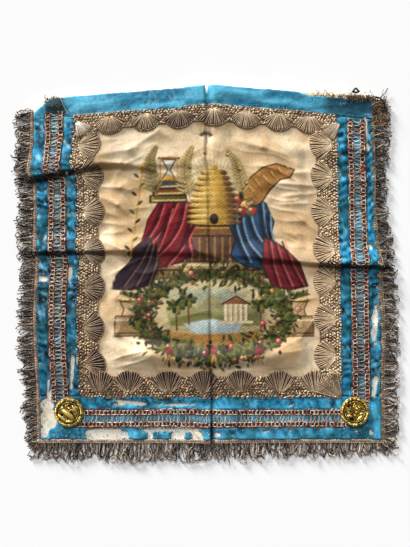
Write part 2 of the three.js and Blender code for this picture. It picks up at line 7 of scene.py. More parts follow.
import bpy
import numpy as np
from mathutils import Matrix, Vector


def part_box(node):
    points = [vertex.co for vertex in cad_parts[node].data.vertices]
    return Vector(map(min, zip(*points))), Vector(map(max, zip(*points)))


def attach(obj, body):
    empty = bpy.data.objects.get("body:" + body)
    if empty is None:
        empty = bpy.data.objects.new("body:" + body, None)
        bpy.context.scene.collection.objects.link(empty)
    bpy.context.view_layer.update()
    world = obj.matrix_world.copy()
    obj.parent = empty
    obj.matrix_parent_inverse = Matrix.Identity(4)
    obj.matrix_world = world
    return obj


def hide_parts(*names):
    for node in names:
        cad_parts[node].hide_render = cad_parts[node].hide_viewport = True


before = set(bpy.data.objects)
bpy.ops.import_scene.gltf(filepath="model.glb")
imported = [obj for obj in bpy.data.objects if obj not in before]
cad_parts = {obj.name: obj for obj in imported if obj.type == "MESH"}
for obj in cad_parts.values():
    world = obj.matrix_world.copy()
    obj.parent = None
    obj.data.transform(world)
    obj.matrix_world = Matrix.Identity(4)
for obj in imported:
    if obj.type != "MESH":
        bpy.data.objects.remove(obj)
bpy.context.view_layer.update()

MM = 0.001
PHOTO_MM = 1.2
PHOTO_X = 207
PHOTO_Y = 268
IMAGE_WIDTH = 410
IMAGE_HEIGHT = 547

# Driving dimensions of the flat cloth
HALF_WIDTH = 207
RIBBON_OUTER = 202
RIBBON_INNER = 154
BRAID_MIDDLE = 178
BRAID_BOTTOM_MIDDLE = -180
LACE_OUTER = 155.5
PANEL_HALF_WIDTH = 150
PANEL_TOP = 175
PANEL_BOTTOM = -151
BOTTOM_EDGE = -210
TOP_RIBBON_FOOT = 178.2
ARCH_HEIGHT = 16
ARCH_CENTRE = 8
ARCH_HALF_SPAN = 196
CREASE_S = 2
CREASE_HEIGHT = 3.4
FOLD_RISE = 1.15
CREASE_SWELL = 34
CREASE_LIP_LEFT = 3.5
CREASE_LIP_RIGHT = 9.0
WRINKLE_FADE = 16
ROLL_HEIGHT = 8
ROLL_HALF_WIDTH = 122.6
BACKING_LEFT = -214.5
BACKING_FOOT = -210.0

# Photo positions of places whose colour changes
Box = namedtuple("Box", "left right top bottom")
# Ends of the top ribbon that take painted shade
SHADED_JOIN = Box(45, 66, 93, 117)
SHADED_END_X = 318
SHADED_END_Y = 118
BARE_X = 300
BARE_Y = 104
DULL_BELOW = 240
SATIN_OPEN = Box(96, 326, 128, 374)
TONED_X = 165
TONED_Y = 190
SHADED_X = 150
SHADED_Y = 152

Layer = namedtuple("Layer", "under over")
BACKING = Layer(0.0, 1.4)
RIBBON = Layer(1.9, 2.7)
PANEL = Layer(1.8, 2.5)

# Lines of the draped cloth from the waist edge to the hem. t and rise are given at STATIONS;
# left, right_in and right_out shift the row sideways; arch and crease scale those two forms.
STATIONS = (-207, -123, 2, 123, 207)
Row = namedtuple("Row", "name t rise left right_in right_out arch crease")
ROWS = [
    Row("waist edge", (202, 204, 204, 204.5, 206), (1, 0, 0, 3, 4), -5, 0.8, -5.2, 1, 1),
    Row("top ribbon foot", (178,) * 5, (1, 0, 0, 0, 0), -5, 0.8, -6, 1, 1),
    Row("top lace tips", (154,) * 5, (1, 0, 0, 1, 0.5), -5, 0.8, -6.4, 1, 0.9),
    Row("tuck north foot", (142, 147, 138, 138, 138), (2, 1, 0, 2, 1), -6, 1, -6.2, 0.95, 0.7),
    Row("tuck ridge", (116, 127, 116, 116, 116), (8, 5, 0.8, 0.5, 0), -7.5, 2, -5.2, 0.85, 0.5),
    Row("tuck south foot", (101, 111, 104, 104, 104), (0.5, 0, 0, 2, 0.5), -2, 2, -5.3, 0.8, 0.5),
    Row("upper plain", (75,) * 5, (0.5, 1.5, 0, 0, 0), -0.8, 2.3, -5.2, 0.7, 0.5),
    Row("cross fold north foot", (42, 40, 36, 30, 28), (0.5, 0, 0, 0, 0.5), -1.4, 3.5, -1, 0.55, 0.4),
    Row("cross fold ridge", (22, 20, 12, 4, 4), (6, 4, 2.2, 6, 8), -0.8, 4.5, 2.6, 0.5, 0.4),
    Row("cross fold south foot", (10, 8, -2, -6, -6), (0,) * 5, 1.6, 4.8, 3.2, 0.45, 0.4),
    Row("lower plain", (-40,) * 5, (0.5, 0, 0, 0, 0), -1.4, 5.4, 5, 0.3, 0.4),
    Row("low left ridge", (-65, -65, -65, -60, -60), (2, 1, 0, 0.5, 0), -1.4, 6, 6.6, 0.2, 0.4),
    Row("roll north foot", (-82, -80, -92, -78, -82), (0,) * 5, -1, 6, 6.8, 0.15, 0.4),
    Row("roll ridge", (-98, -98, -114, -98, -98), (0,) * 5, -0.6, 6, 6.6, 0.12, 0.4),
    Row("bottom lace tips", (-123,) * 5, (0,) * 5, 0.8, 6.4, 6, 0.05, 0.6),
    Row("bottom ribbon top", (-154,) * 5, (0,) * 5, 2.2, 6.8, 5.6, 0, 0.8),
    Row("hem", (-210, -210, -210, -210, -206.5), (0,) * 5, 2.8, 6.8, 6.4, 0, 1),
]
SHIFT_STATIONS = (-207, -154, 154, 190, 207)

# Part of the way to the next row over which the cloth drops, after each ridge
DROPS = {"tuck ridge": (0.35, 0.95), "cross fold ridge": (0.05, 0.65), "roll ridge": (0.5, 0.95)}
ROLL_ROW = [row.name for row in ROWS].index("roll ridge")

# Soft wrinkles, from one photo position to another
Wrinkle = namedtuple("Wrinkle", "x0 y0 x1 y1 height width")
WRINKLES = [Wrinkle(*row) for row in (
    # Left part of the satin
    (97, 238, 124, 250, 4.2, 5), (124, 250, 150, 256, 3.0, 5), (90, 157, 130, 150, 2.2, 5),
    (130, 150, 158, 131, 2.6, 6), (158, 131, 178, 142, 2.0, 5), (88, 162, 121, 164, 2.6, 3.5),
    (121, 164, 154, 170, 2.8, 3.5), (154, 170, 190, 180, 2.2, 3.5), (112, 170, 144, 183, 2.4, 3.5),
    (90, 186, 121, 188, 3.2, 3.5), (121, 188, 140, 194, 2.4, 3.5), (92, 192, 118, 205, 3.2, 3.5),
    (118, 205, 134, 219, 2.6, 3.5), (94, 208, 124, 219, 2.6, 3.5), (90, 221, 130, 226, 2.6, 4),
    (94, 234, 132, 232, 2.8, 4), (100, 128, 120, 140, 2.0, 4), (108, 146, 136, 141, 1.8, 4),
    # Across the print
    (184, 246, 232, 263, 3.2, 5), (232, 263, 284, 262, 2.6, 5),
    # Right part of the satin
    (228, 138, 262, 148, 2.4, 6), (262, 148, 288, 157, 3.2, 5), (290, 160, 306, 169, 1.8, 4),
    (250, 164, 290, 172, 2.0, 5), (280, 174, 322, 171, 2.8, 4), (268, 183, 322, 187, 3.0, 4),
    (276, 197, 322, 193, 3.2, 4), (270, 205, 318, 203, 2.4, 4), (292, 212, 322, 236, 3.4, 4),
    (276, 226, 306, 243, 2.6, 5), (300, 250, 324, 247, 2.4, 4),
    # Lower part of the satin
    (100, 300, 118, 334, 2.8, 5), (118, 334, 150, 350, 2.4, 5), (106, 296, 132, 326, 2.2, 4),
    (320, 312, 300, 338, 2.0, 5), (300, 338, 270, 352, 1.6, 5), (312, 284, 262, 290, 1.6, 5),
    (324, 296, 286, 304, 1.6, 4),
    # Side borders
    (322, 150, 400, 152, 2.0, 7), (322, 182, 400, 180, 2.2, 7), (322, 202, 400, 206, 1.8, 7),
    (322, 228, 400, 231, 2.2, 7), (20, 200, 92, 197, 2.0, 7), (20, 216, 92, 222, 1.8, 7),
    (20, 238, 92, 240, 1.4, 6), (20, 290, 98, 283, 1.8, 7), (20, 312, 98, 320, 1.8, 7),
    (20, 345, 98, 338, 1.6, 7), (20, 366, 98, 372, 1.6, 7), (322, 300, 392, 296, 1.8, 7),
    (322, 322, 392, 328, 1.6, 7), (322, 346, 392, 350, 1.8, 7), (322, 372, 392, 376, 1.6, 7),
    # Hem and top border
    (228, 372, 300, 366, 1.8, 6), (120, 366, 190, 372, 1.6, 6), (70, 108, 140, 98, 1.2, 5),
    (140, 98, 200, 100, 1.2, 5), (230, 98, 300, 108, 1.2, 5), (300, 108, 360, 104, 1.4, 5),
)]
# A wrinkle fades out, over WRINKLE_FADE pixels, at an end that no other wrinkle shares
WRINKLE_ENDS = [(fold.x0, fold.y0) for fold in WRINKLES] + [(fold.x1, fold.y1) for fold in WRINKLES]


# Numbers and colours
NOISE_CELLS = 128


def mix(a, b, f):
    return a + (b - a) * f


def wash(colour, ink, share):
    """Colours blended towards an ink by one share for each row."""
    return mix(colour, ink, share[:, None])


def ease(f):
    f = np.clip(f, 0, 1)
    return f * f * (3 - 2 * f)


def least(*values):
    """Smallest of several values, point by point."""
    return reduce(np.minimum, values)


def rgb(red, green, blue):
    """A screen colour from 0 to 255 as linear light."""
    c = np.array([red, green, blue]) / 255
    return np.where(c <= 0.04045, c / 12.92, ((c + 0.055) / 1.055) ** 2.4)


def noise(x, y, scale, seed):
    """Smooth noise from 0 to 1 whose features are about scale wide."""
    table = np.random.default_rng(seed).random((NOISE_CELLS, NOISE_CELLS))
    u = np.asarray(x, float) / scale
    v = np.asarray(y, float) / scale
    i = np.floor(u).astype(int)
    j = np.floor(v).astype(int)
    f = ease(u - i)
    g = ease(v - j)

    def corner(a, b):
        return table[(i + a) % NOISE_CELLS, (j + b) % NOISE_CELLS]

    return mix(mix(corner(0, 0), corner(1, 0), f), mix(corner(0, 1), corner(1, 1), f), g)


def layered_noise(x, y, scale, seed):
    """Coarse, middle and fine noise added together."""
    middle = noise(x, y, scale / 2.3, seed + 1)
    return 0.5 * noise(x, y, scale, seed) + 0.3 * middle + 0.2 * noise(x, y, scale / 5.1, seed + 2)


def points_at(x, y, z):
    """Points from their coordinates, which may be single numbers."""
    return np.stack(np.broadcast_arrays(x, y, z), axis=-1)


def segment_distance(x, y, x0, y0, x1, y1):
    """Distance of points from a segment."""
    dx = x1 - x0
    dy = y1 - y0
    f = np.clip(((x - x0) * dx + (y - y0) * dy) / (dx * dx + dy * dy + 1e-9), 0, 1)
    return np.hypot(x - x0 - f * dx, y - y0 - f * dy)


# The draped cloth
def across(stations, values, s, smooth=False):
    """Values at stations across the cloth, taken at s."""
    stations = np.asarray(stations, float)
    values = np.asarray(values, float)
    k = np.clip(np.searchsorted(stations, s, side="right") - 1, 0, len(stations) - 2)
    f = np.clip((s - stations[k]) / (stations[k + 1] - stations[k]), 0, 1)
    return mix(values[k], values[k + 1], ease(f) if smooth else f)


def photo_from(x, y):
    """Photo position of a place in plan."""
    return PHOTO_X + x / PHOTO_MM, PHOTO_Y - y / PHOTO_MM


def plan_from(px, py):
    """Place in plan of a photo position."""
    return (np.asarray(px, float) - PHOTO_X) * PHOTO_MM, (PHOTO_Y - np.asarray(py, float)) * PHOTO_MM


def turned(upright, along, across_it):
    """Flat-cloth position (s, t) of a place along and across a trimming."""
    return (across_it, along) if upright else (along, across_it)


def wrinkle_height(x, y):
    """Height of the soft wrinkles and of the cloth's own unevenness."""
    px, py = photo_from(x, y)
    total = 1.7 * (noise(x * 0.6, y, 24, 5) - 0.5) + 1.2 * (noise(x * 0.7, y, 10, 6) - 0.5)
    for fold in WRINKLES:
        gap = segment_distance(px, py, fold.x0, fold.y0, fold.x1, fold.y1) * PHOTO_MM
        height = fold.height * np.exp(-np.hypot(gap, 1.2) / (0.8 * fold.width))
        for end in ((fold.x0, fold.y0), (fold.x1, fold.y1)):
            if WRINKLE_ENDS.count(end) == 1:
                height = height * ease(np.hypot(px - end[0], py - end[1]) / WRINKLE_FADE)
        total = total + height
    return total


def drape(s, t):
    """Plan position, height and row number of points of the flat cloth."""
    shape = np.broadcast(s, t).shape
    s = np.broadcast_to(np.asarray(s, float), shape).ravel()
    t = np.broadcast_to(np.asarray(t, float), shape).ravel()
    lines = np.stack([across(STATIONS, row.t, s) for row in ROWS])
    rises = np.stack([across(STATIONS, row.rise, s, smooth=True) for row in ROWS])
    sides = [(row.left, row.left, row.right_in, row.right_in, row.right_out) for row in ROWS]
    shifts = np.stack([across(SHIFT_STATIONS, side, s) for side in sides])
    i = np.clip((lines >= t).sum(axis=0) - 1, 0, len(ROWS) - 2)
    points = np.arange(len(s))
    f = (lines[i, points] - t) / (lines[i, points] - lines[i + 1, points])
    arches = np.array([row.arch for row in ROWS])
    creases = np.array([row.crease for row in ROWS])
    drops = np.array([DROPS.get(row.name, (0, 1)) for row in ROWS])
    drop = (f - drops[i, 0]) / (drops[i, 1] - drops[i, 0])
    arch = ARCH_HEIGHT * (1 - np.abs(s - ARCH_CENTRE) / ARCH_HALF_SPAN)
    x = s + mix(shifts[i, points], shifts[i + 1, points], f)
    y = t + arch * mix(arches[i], arches[i + 1], np.clip(f, 0, 1))
    side_gap = np.abs(s - CREASE_S)
    lip = np.where(s < CREASE_S, CREASE_LIP_LEFT, CREASE_LIP_RIGHT)
    swell = ease(side_gap / lip) * (1 - ease((side_gap - lip) / CREASE_SWELL))
    rise = FOLD_RISE * mix(rises[i, points], rises[i + 1, points], ease(drop))
    rise += CREASE_HEIGHT * swell * mix(creases[i], creases[i + 1], np.clip(f, 0, 1))
    height = np.maximum(rise + wrinkle_height(x, y), 0)
    return [v.reshape(shape) for v in (x, y, height, i + f)]


# Painted shade down the steep side of each fold and along the crease, for each millimetre in plan
SHADE_TABLE_HALF = 260


def painted_shade_table():
    """Painted shade from 0 to 1, for each millimetre of the plan: darker down slopes that face the hem, away
    from the lamps, and along the crease.
    """
    s, t = np.meshgrid(np.arange(-235, 235, 0.7), np.arange(-238, 228, 0.7))
    x, y, _, _ = drape(s, t)
    slope = (drape(s, t + 0.8)[2] - drape(s, t - 0.8)[2]) / 1.6
    dark = ease((slope - 0.2) / 0.6) * mix(0.4, 1, ease((np.abs(s - 4) - 96) / 30))
    line = ease((1.9 - np.abs(s - CREASE_S + 0.9)) / 1.2) * mix(0.45, 1.0, ease((-60 - t) / 80))
    table = np.zeros((2 * SHADE_TABLE_HALF, 2 * SHADE_TABLE_HALF))
    table[y.astype(int) + SHADE_TABLE_HALF, x.astype(int) + SHADE_TABLE_HALF] = np.maximum(dark, line)
    return table


PAINTED_SHADE = painted_shade_table()


def with_painted_shade(x, y, colour, depth):
    """Colour of plan positions, darkened by painted shade."""
    i = np.clip(x.astype(int) + SHADE_TABLE_HALF, 0, 2 * SHADE_TABLE_HALF - 1)
    j = np.clip(y.astype(int) + SHADE_TABLE_HALF, 0, 2 * SHADE_TABLE_HALF - 1)
    return colour * (1 - PAINTED_SHADE[j, i][:, None] * depth)


def on_cloth(s, t, w):
    """Point at height w over the underside of the draped cloth."""
    x, y, height, _ = drape(s, t)
    return points_at(x, y, height + w)


def flat_at(px, py):
    """Flat-cloth position that lies under a photo position."""
    x, y = plan_from(px, py)
    s, t = x, y
    for _ in range(8):
        there = drape(s, t)
        s = s + x - there[0]
        t = t + y - there[1]
    return s, t


# From this drape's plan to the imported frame, by the lower left corner of the solid backing
backing_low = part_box("backing")[0]
SHIFT = np.array([backing_low[0] / MM - BACKING_LEFT, backing_low[1] / MM - BACKING_FOOT, 0.0])


# Mesh building
def make_object(name, verts, quads, tris, tint):
    """Object from millimetre vertices, quads, triangles and one colour per vertex."""
    mesh = bpy.data.meshes.new(name)
    verts = (np.asarray(verts) + SHIFT) * MM
    quads = np.asarray(quads, int).reshape(-1, 4)
    tris = np.asarray(tris, int).reshape(-1, 3)
    corners = np.concatenate([quads.ravel(), tris.ravel()])
    sizes = np.concatenate([np.full(len(quads), 4), np.full(len(tris), 3)])
    mesh.vertices.add(len(verts))
    mesh.vertices.foreach_set("co", verts.ravel())
    mesh.loops.add(len(corners))
    mesh.loops.foreach_set("vertex_index", corners)
    mesh.polygons.add(len(sizes))
    mesh.polygons.foreach_set("loop_start", np.cumsum(sizes) - sizes)
    mesh.update(calc_edges=True)
    mesh.validate()
    mesh.shade_smooth()
    layer = mesh.color_attributes.new("tint", "FLOAT_COLOR", "POINT")
    if tint.shape[1] == 3:
        tint = np.column_stack([tint, np.ones(len(tint))])
    layer.data.foreach_set("color", np.clip(tint, 0, 1).ravel())
    thing = bpy.data.objects.new(name, mesh)
    bpy.context.scene.collection.objects.link(thing)
    return thing


def dress(thing, look, node):
    """Gives a piece its material, hangs it under the root body and hides the solid it stands for."""
    thing.data.materials.append(look)
    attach(thing, "root")
    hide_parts(node)
    return thing


def grid_lines(first, last, pitch):
    """Evenly spaced lines of a grid, both ends included."""
    return np.linspace(first, last, max(2, int(round((last - first) / pitch)) + 1))


def settle(s, t, keep, loose, reach):
    """Moves loose grid points onto the outline keep = 0."""
    step = 0.25
    here = keep(s, t)
    ds = (keep(s + step, t) - keep(s - step, t)) / (2 * step)
    dt = (keep(s, t + step) - keep(s, t - step)) / (2 * step)
    size = ds * ds + dt * dt + 1e-6
    move_s = np.clip(-here * ds / size, -reach, reach)
    move_t = np.clip(-here * dt / size, -reach, reach)
    return np.where(loose, s + move_s, s), np.where(loose, t + move_t, t)


def cloth_sheet(name, s_lines, t_lines, layer, keep, paint, lift=None, closed=True):
    """Thin sheet over a grid of the flat cloth, cut to the outline keep(s, t) > 0."""
    s, t = np.meshgrid(s_lines, t_lines)
    middle_s = (s[:-1, :-1] + s[1:, 1:]) / 2
    middle_t = (t[:-1, :-1] + t[1:, 1:]) / 2
    cells = keep(middle_s, middle_t) > 0
    padded = np.pad(cells, 1)
    around = [padded[:-1, :-1], padded[1:, :-1], padded[:-1, 1:], padded[1:, 1:]]
    edge = np.any(around, axis=0) & ~np.all(around, axis=0)
    reach = 0.55 * np.median(np.diff(s_lines))
    s, t = settle(s, t, keep, edge, reach)
    x, y, height, row = drape(s, t)
    if lift is not None:
        height = height + lift(s, t, row)
    count = s.size
    over = points_at(x, y, height + layer.over).reshape(-1, 3)
    under = points_at(x, y, height + layer.under).reshape(-1, 3)
    index = np.arange(count).reshape(s.shape)
    i, j = np.nonzero(cells)
    a, b, c, d = index[i, j], index[i, j + 1], index[i + 1, j + 1], index[i + 1, j]
    quads = [np.column_stack([a, b, c, d])]
    if closed:
        quads.append(np.column_stack([a, d, c, b]) + count)
    walls = [(a, b, padded[i, j + 1]), (b, c, padded[i + 1, j + 2]),
             (c, d, padded[i + 2, j + 1]), (d, a, padded[i + 1, j])]
    for first, second, neighbour in walls:
        p = first[~neighbour]
        q = second[~neighbour]
        quads.append(np.column_stack([p + count, q + count, q, p]))
    quads = np.concatenate(quads)
    verts = np.concatenate([over, under])
    tint = np.tile(paint(s.ravel(), t.ravel(), x.ravel(), y.ravel()), (2, 1))
    used, quads = np.unique(quads, return_inverse=True)
    return make_object(name, verts[used], quads.reshape(-1, 4), [], tint[used])


# Reach and height of the rings of a knot
KNOT_RINGS = ((0.78, -0.6), (1.0, 0.15))
# Depth of the painted shade on threads
THREAD_SHADE_DEPTH = 0.72


class Threads:
    """Collects many small tubes and knots into one mesh."""

    def __init__(self):
        self.verts = []
        self.quads = []
        self.tris = []
        self.tint = []
        self.count = 0

    def add(self, verts, quads, tris, tint):
        self.verts.append(verts.reshape(-1, 3))
        self.quads.append(quads.reshape(-1, 4) + self.count)
        self.tris.append(tris.reshape(-1, 3) + self.count)
        self.tint.append(tint.reshape(-1, 3))
        self.count += len(self.verts[-1])

    def tubes(self, paths, radius, sides, tint, flat=1.0, twist=0.0):
        """Tubes along paths (n, k, 3), or along one path (k, 3).

        flat squeezes the section and twist turns it at each point.
        """
        paths = np.asarray(paths, float)
        if paths.ndim == 2:
            paths = paths[None]
        n, k, _ = paths.shape
        radius = np.broadcast_to(radius, (n, k))[:, :, None, None]
        tint = np.broadcast_to(tint, (n, k, 3))
        tangent = np.gradient(paths, axis=1)
        tangent /= np.linalg.norm(tangent, axis=2, keepdims=True) + 1e-9
        side = np.cross(tangent, (0.0, 0.0, 1.0))
        steep = np.linalg.norm(side, axis=2) < 0.1
        side[steep] = np.cross(tangent[steep], (1.0, 0.0, 0.0))
        side /= np.linalg.norm(side, axis=2, keepdims=True)
        top = np.cross(side, tangent)
        turn = (twist * np.arange(k))[None, :, None, None]
        first = np.cos(turn[..., 0]) * side + np.sin(turn[..., 0]) * top
        second = flat * (np.cos(turn[..., 0]) * top - np.sin(turn[..., 0]) * side)
        angle = (2 * np.pi * np.arange(sides) / sides)[:, None]
        ring = np.cos(angle) * first[:, :, None] + np.sin(angle) * second[:, :, None]
        verts = paths[:, :, None] + ring * radius
        index = np.arange(n * k * sides).reshape(n, k, sides)
        nxt = np.roll(index, -1, axis=2)
        quads = np.stack([index[:, :-1], index[:, 1:], nxt[:, 1:], nxt[:, :-1]], axis=-1)
        fans = []
        for m in range(1, sides - 1):
            fans.append(np.stack([index[:, 0, 0], index[:, 0, m], index[:, 0, m + 1]], axis=-1))
            fans.append(np.stack([index[:, -1, 0], index[:, -1, m + 1], index[:, -1, m]], axis=-1))
        tints = np.broadcast_to(tint[:, :, None], (n, k, sides, 3))
        self.add(verts, quads, np.concatenate(fans), tints)

    def knots(self, centres, angle, length, width, height, tint):
        """Low oval knots, two rings of six and a crown each."""
        centres = np.asarray(centres, float).reshape(-1, 3)
        n = len(centres)
        angle = np.broadcast_to(angle, n)
        turn = 2 * np.pi * np.arange(6) / 6
        shape = [(r * np.cos(a), r * np.sin(a), z) for r, z in KNOT_RINGS for a in turn]
        shape = np.array(shape + [(0, 0, 1)])
        long = np.stack([np.cos(angle), np.sin(angle), 0 * angle], axis=-1)
        wide = np.stack([-np.sin(angle), np.cos(angle), 0 * angle], axis=-1)
        size = [np.broadcast_to(v, n)[:, None, None] / 2 for v in (length, width, height)]
        verts = centres[:, None] + size[0] * shape[:, :1] * long[:, None]
        verts = verts + size[1] * shape[:, 1:2] * wide[:, None]
        verts = verts + size[2] * shape[:, 2:] * np.array([0.0, 0.0, 1.0])
        base = (np.arange(n) * 13)[:, None, None]
        m = np.arange(6)
        p = (m + 1) % 6
        quads = base + np.stack([m, p, p + 6, m + 6], axis=-1)
        crown = base + np.stack([m + 6, p + 6, np.full(6, 12)], axis=-1)
        foot = base + np.array([(0, k + 1, k) for k in range(1, 5)])
        tints = np.broadcast_to(np.broadcast_to(tint, (n, 3))[:, None], (n, 13, 3))
        self.add(verts, quads, np.concatenate([crown.reshape(-1, 3), foot.reshape(-1, 3)]), tints)

    def build(self, name):
        verts = np.concatenate(self.verts)
        # Painted shade down the folds and along the crease darkens the threads
        tint = with_painted_shade(verts[:, 0], verts[:, 1], np.concatenate(self.tint), THREAD_SHADE_DEPTH)
        return make_object(name, verts, np.concatenate(self.quads), np.concatenate(self.tris), tint)


# Materials
NOISE_LOW = 0.3
NOISE_HIGH = 0.7


class Look:
    """A material of nodes around one Principled shader."""

    def __init__(self, name, sockets):
        self.material = bpy.data.materials.new(name)
        self.material.use_nodes = True
        self.nodes = self.material.node_tree.nodes
        self.links = self.material.node_tree.links
        self.shader = self.nodes["Principled BSDF"]
        for key, value in sockets.items():
            self.shader.inputs[key].default_value = value
        self.place = self.nodes.new("ShaderNodeTexCoord").outputs["Object"]

    def add(self, kind, inputs, output, **settings):
        node = self.nodes.new("ShaderNode" + kind)
        for key, value in settings.items():
            setattr(node, key, value)
        for key, value in inputs.items():
            if isinstance(value, bpy.types.NodeSocket):
                self.links.new(value, node.inputs[key])
            else:
                node.inputs[key].default_value = value
        return node.outputs[output]

    def speckle(self, scale, detail=2.0, stretch=(1, 1, 1), turn=0.0):
        """Noise whose features measure 1 / scale metres, stretched along an axis."""
        inputs = {"Vector": self.place, "Scale": stretch, "Rotation": (0, 0, turn)}
        vector = self.add("Mapping", inputs, "Vector")
        inputs = {"Vector": vector, "Scale": scale, "Detail": detail, "Roughness": 0.6}
        return self.add("TexNoise", inputs, "Fac")

    def threads(self, scale, direction):
        """Weave lines across one direction."""
        inputs = {"Vector": self.place, "Scale": scale, "Distortion": 0.6, "Detail": 1.0}
        return self.add("TexWave", inputs, "Fac", bands_direction=direction)

    def span(self, value, low, high):
        """A noise value spread out from low to high."""
        inputs = {"Value": value, "From Min": NOISE_LOW, "From Max": NOISE_HIGH,
                  "To Min": low, "To Max": high}
        return self.add("MapRange", inputs, "Result")

    def sum(self, a, b, operation="ADD"):
        return self.add("Math", {0: a, 1: b}, "Value", operation=operation)

    def tint(self):
        return self.add("VertexColor", {}, "Color", layer_name="tint")

    def shade(self, colour, value, low, high):
        """Colour made darker and lighter by a noise value."""
        inputs = {"Color1": colour, "Color2": self.span(value, low, high), "Fac": 1.0}
        return self.add("MixRGB", inputs, "Color", blend_type="MULTIPLY")

    def finish(self, colour, height, distance, roughness=None):
        self.links.new(colour, self.shader.inputs["Base Color"])
        bump = self.add("Bump", {"Height": height, "Distance": distance, "Strength": 0.8}, "Normal")
        self.links.new(bump, self.shader.inputs["Normal"])
        if roughness is not None:
            self.links.new(roughness, self.shader.inputs["Roughness"])
        return self.material


def linen_look():
    look = Look("linen", {"Roughness": 0.95, "Specular IOR Level": 0.2})
    weave = look.sum(look.threads(330, "X"), look.threads(330, "Y"))
    colour = look.shade(look.tint(), look.speckle(90, 4), 0.94, 1.06)
    colour = look.shade(colour, look.speckle(1400, 2), 0.94, 1.06)
    return look.finish(colour, look.sum(weave, look.speckle(900, 3)), 0.0002)


def satin_look():
    sockets = {"Roughness": 0.55, "Sheen Weight": 0.06, "Specular IOR Level": 0.22, "Anisotropic": 0.4}
    look = Look("satin", sockets)
    thread = look.speckle(1500, 2, stretch=(1, 0.12, 1))
    slub = look.speckle(420, 3, stretch=(0.2, 1, 1))
    colour = look.shade(look.tint(), look.speckle(60, 4), 0.92, 1.05)
    colour = look.shade(colour, look.speckle(340, 4), 0.86, 1.1)
    colour = look.shade(colour, thread, 0.92, 1.05)
    roughness = look.span(look.speckle(160, 3), 0.42, 0.6)
    return look.finish(colour, look.sum(thread, slub), 0.00012, roughness)


def silk_look():
    look = Look("blue silk", {"Roughness": 0.6, "Specular IOR Level": 0.22})
    ribs = look.threads(420, "Y")
    shred = look.speckle(700, 4, stretch=(0.25, 1, 1), turn=0.3)
    colour = look.shade(look.tint(), look.speckle(210, 5), 0.84, 1.12)
    colour = look.shade(colour, shred, 0.86, 1.1)
    roughness = look.span(look.speckle(140, 3), 0.5, 0.7)
    return look.finish(colour, look.sum(shred, look.sum(ribs, 0.35, "MULTIPLY")), 0.00028, roughness)


def thread_look(name, metallic, roughness, scale):
    """Metal-wrapped thread, dulled in places."""
    look = Look(name, {"Metallic": metallic, "Roughness": roughness, "Specular IOR Level": 0.5})
    wrap = look.speckle(scale, 2, stretch=(1, 0.45, 1), turn=0.6)
    colour = look.shade(look.tint(), look.speckle(260, 4), 0.7, 1.18)
    colour = look.shade(colour, wrap, 0.72, 1.15)
    rough = look.span(look.speckle(330, 3), roughness - 0.12, roughness + 0.2)
    return look.finish(colour, wrap, 0.00025, rough)


def gilt_look():
    look = Look("gilt wire", {"Metallic": 0.6, "Roughness": 0.34})
    grain = look.speckle(1300, 3)
    colour = look.shade(look.tint(), look.speckle(420, 3), 0.62, 1.15)
    rough = look.span(look.speckle(500, 3), 0.2, 0.48)
    return look.finish(colour, grain, 0.00018, rough)


def iron_look():
    look = Look("dark iron", {"Metallic": 0.8, "Roughness": 0.45})
    colour = look.shade(look.tint(), look.speckle(800, 3), 0.6, 1.5)
    return look.finish(colour, look.speckle(1500, 3), 0.00012)


def floor_look():
    look = Look("studio paper", {"Roughness": 0.9, "Specular IOR Level": 0.1})
    colour = look.shade(look.tint(), look.speckle(30, 3), 0.995, 1.0)
    return look.finish(colour, look.speckle(600, 2), 0.00003)


LINEN = linen_look()
SATIN = satin_look()
SILK = silk_look()
BRAID_THREAD = thread_look("braid thread", 0.25, 0.5, 1500)
LACE_THREAD = thread_look("lace thread", 0.1, 0.62, 1700)
# Dark lace ground, also standing for painted shade in the lace's openings
LACE_GROUND_AND_SHADE = thread_look("lace ground", 0.15, 0.6, 1400)
FRINGE_THREAD = thread_look("fringe thread", 0.3, 0.5, 1300)
GILT = gilt_look()
IRON = iron_look()


# Backing
SLIT_S = 1.4
SLIT_FOOT = 189.5
SLIT_LENGTH = 14
SLIT_HALF = 1.9
CUT_CORNER_S = -176


def waist_line(s):
    return across(STATIONS, ROWS[0].t, s)


def hem_line(s):
    return across(STATIONS, ROWS[-1].t, s)


def slit_gap(s, t):
    """Distance from the slit at the middle of the waist edge, below zero inside it."""
    half = np.clip((t - SLIT_FOOT) / SLIT_LENGTH, 0, 1) * SLIT_HALF
    return np.where(t < SLIT_FOOT - 0.5, 5.0, np.abs(s - SLIT_S) - half)


def backing_outline(s, t):
    ragged = 0.9 * (noise(s, t, 3.1, 11) - 0.5) + 0.8 * (noise(s, t, 9.0, 12) - 0.5)
    corner = np.where(s < CUT_CORNER_S, 0.75 * (s + HALF_WIDTH) + 191.5 - t, 9.0)
    edges = least(waist_line(s) - t, t - hem_line(s), HALF_WIDTH - np.abs(s), corner)
    return np.minimum(edges + ragged, slit_gap(s, t))


def backing_paint(s, t, x, y):
    stain = layered_noise(x, y, 30, 21)
    fine = layered_noise(x, y, 6, 24)
    px, py = photo_from(x, y)
    bare = ease((px - BARE_X) / 8) * ease((BARE_Y - py) / 4)
    colour = wash(rgb(255, 252, 240), rgb(244, 228, 200), ease((stain - 0.45) / 0.35))
    colour = wash(colour, rgb(240, 200, 170), 0.4 * ease((fine - 0.56) / 0.2))
    colour = wash(colour, rgb(214, 186, 142), 0.6 * bare)
    # Painted shade down the folds and along the crease
    return with_painted_shade(x, y, colour, 0.35)


backing = cloth_sheet("backing_cloth", grid_lines(-208, 208, 4.2), grid_lines(-211, 207, 4.2),
                      BACKING, backing_outline, backing_paint)
dress(backing, LINEN, "backing")


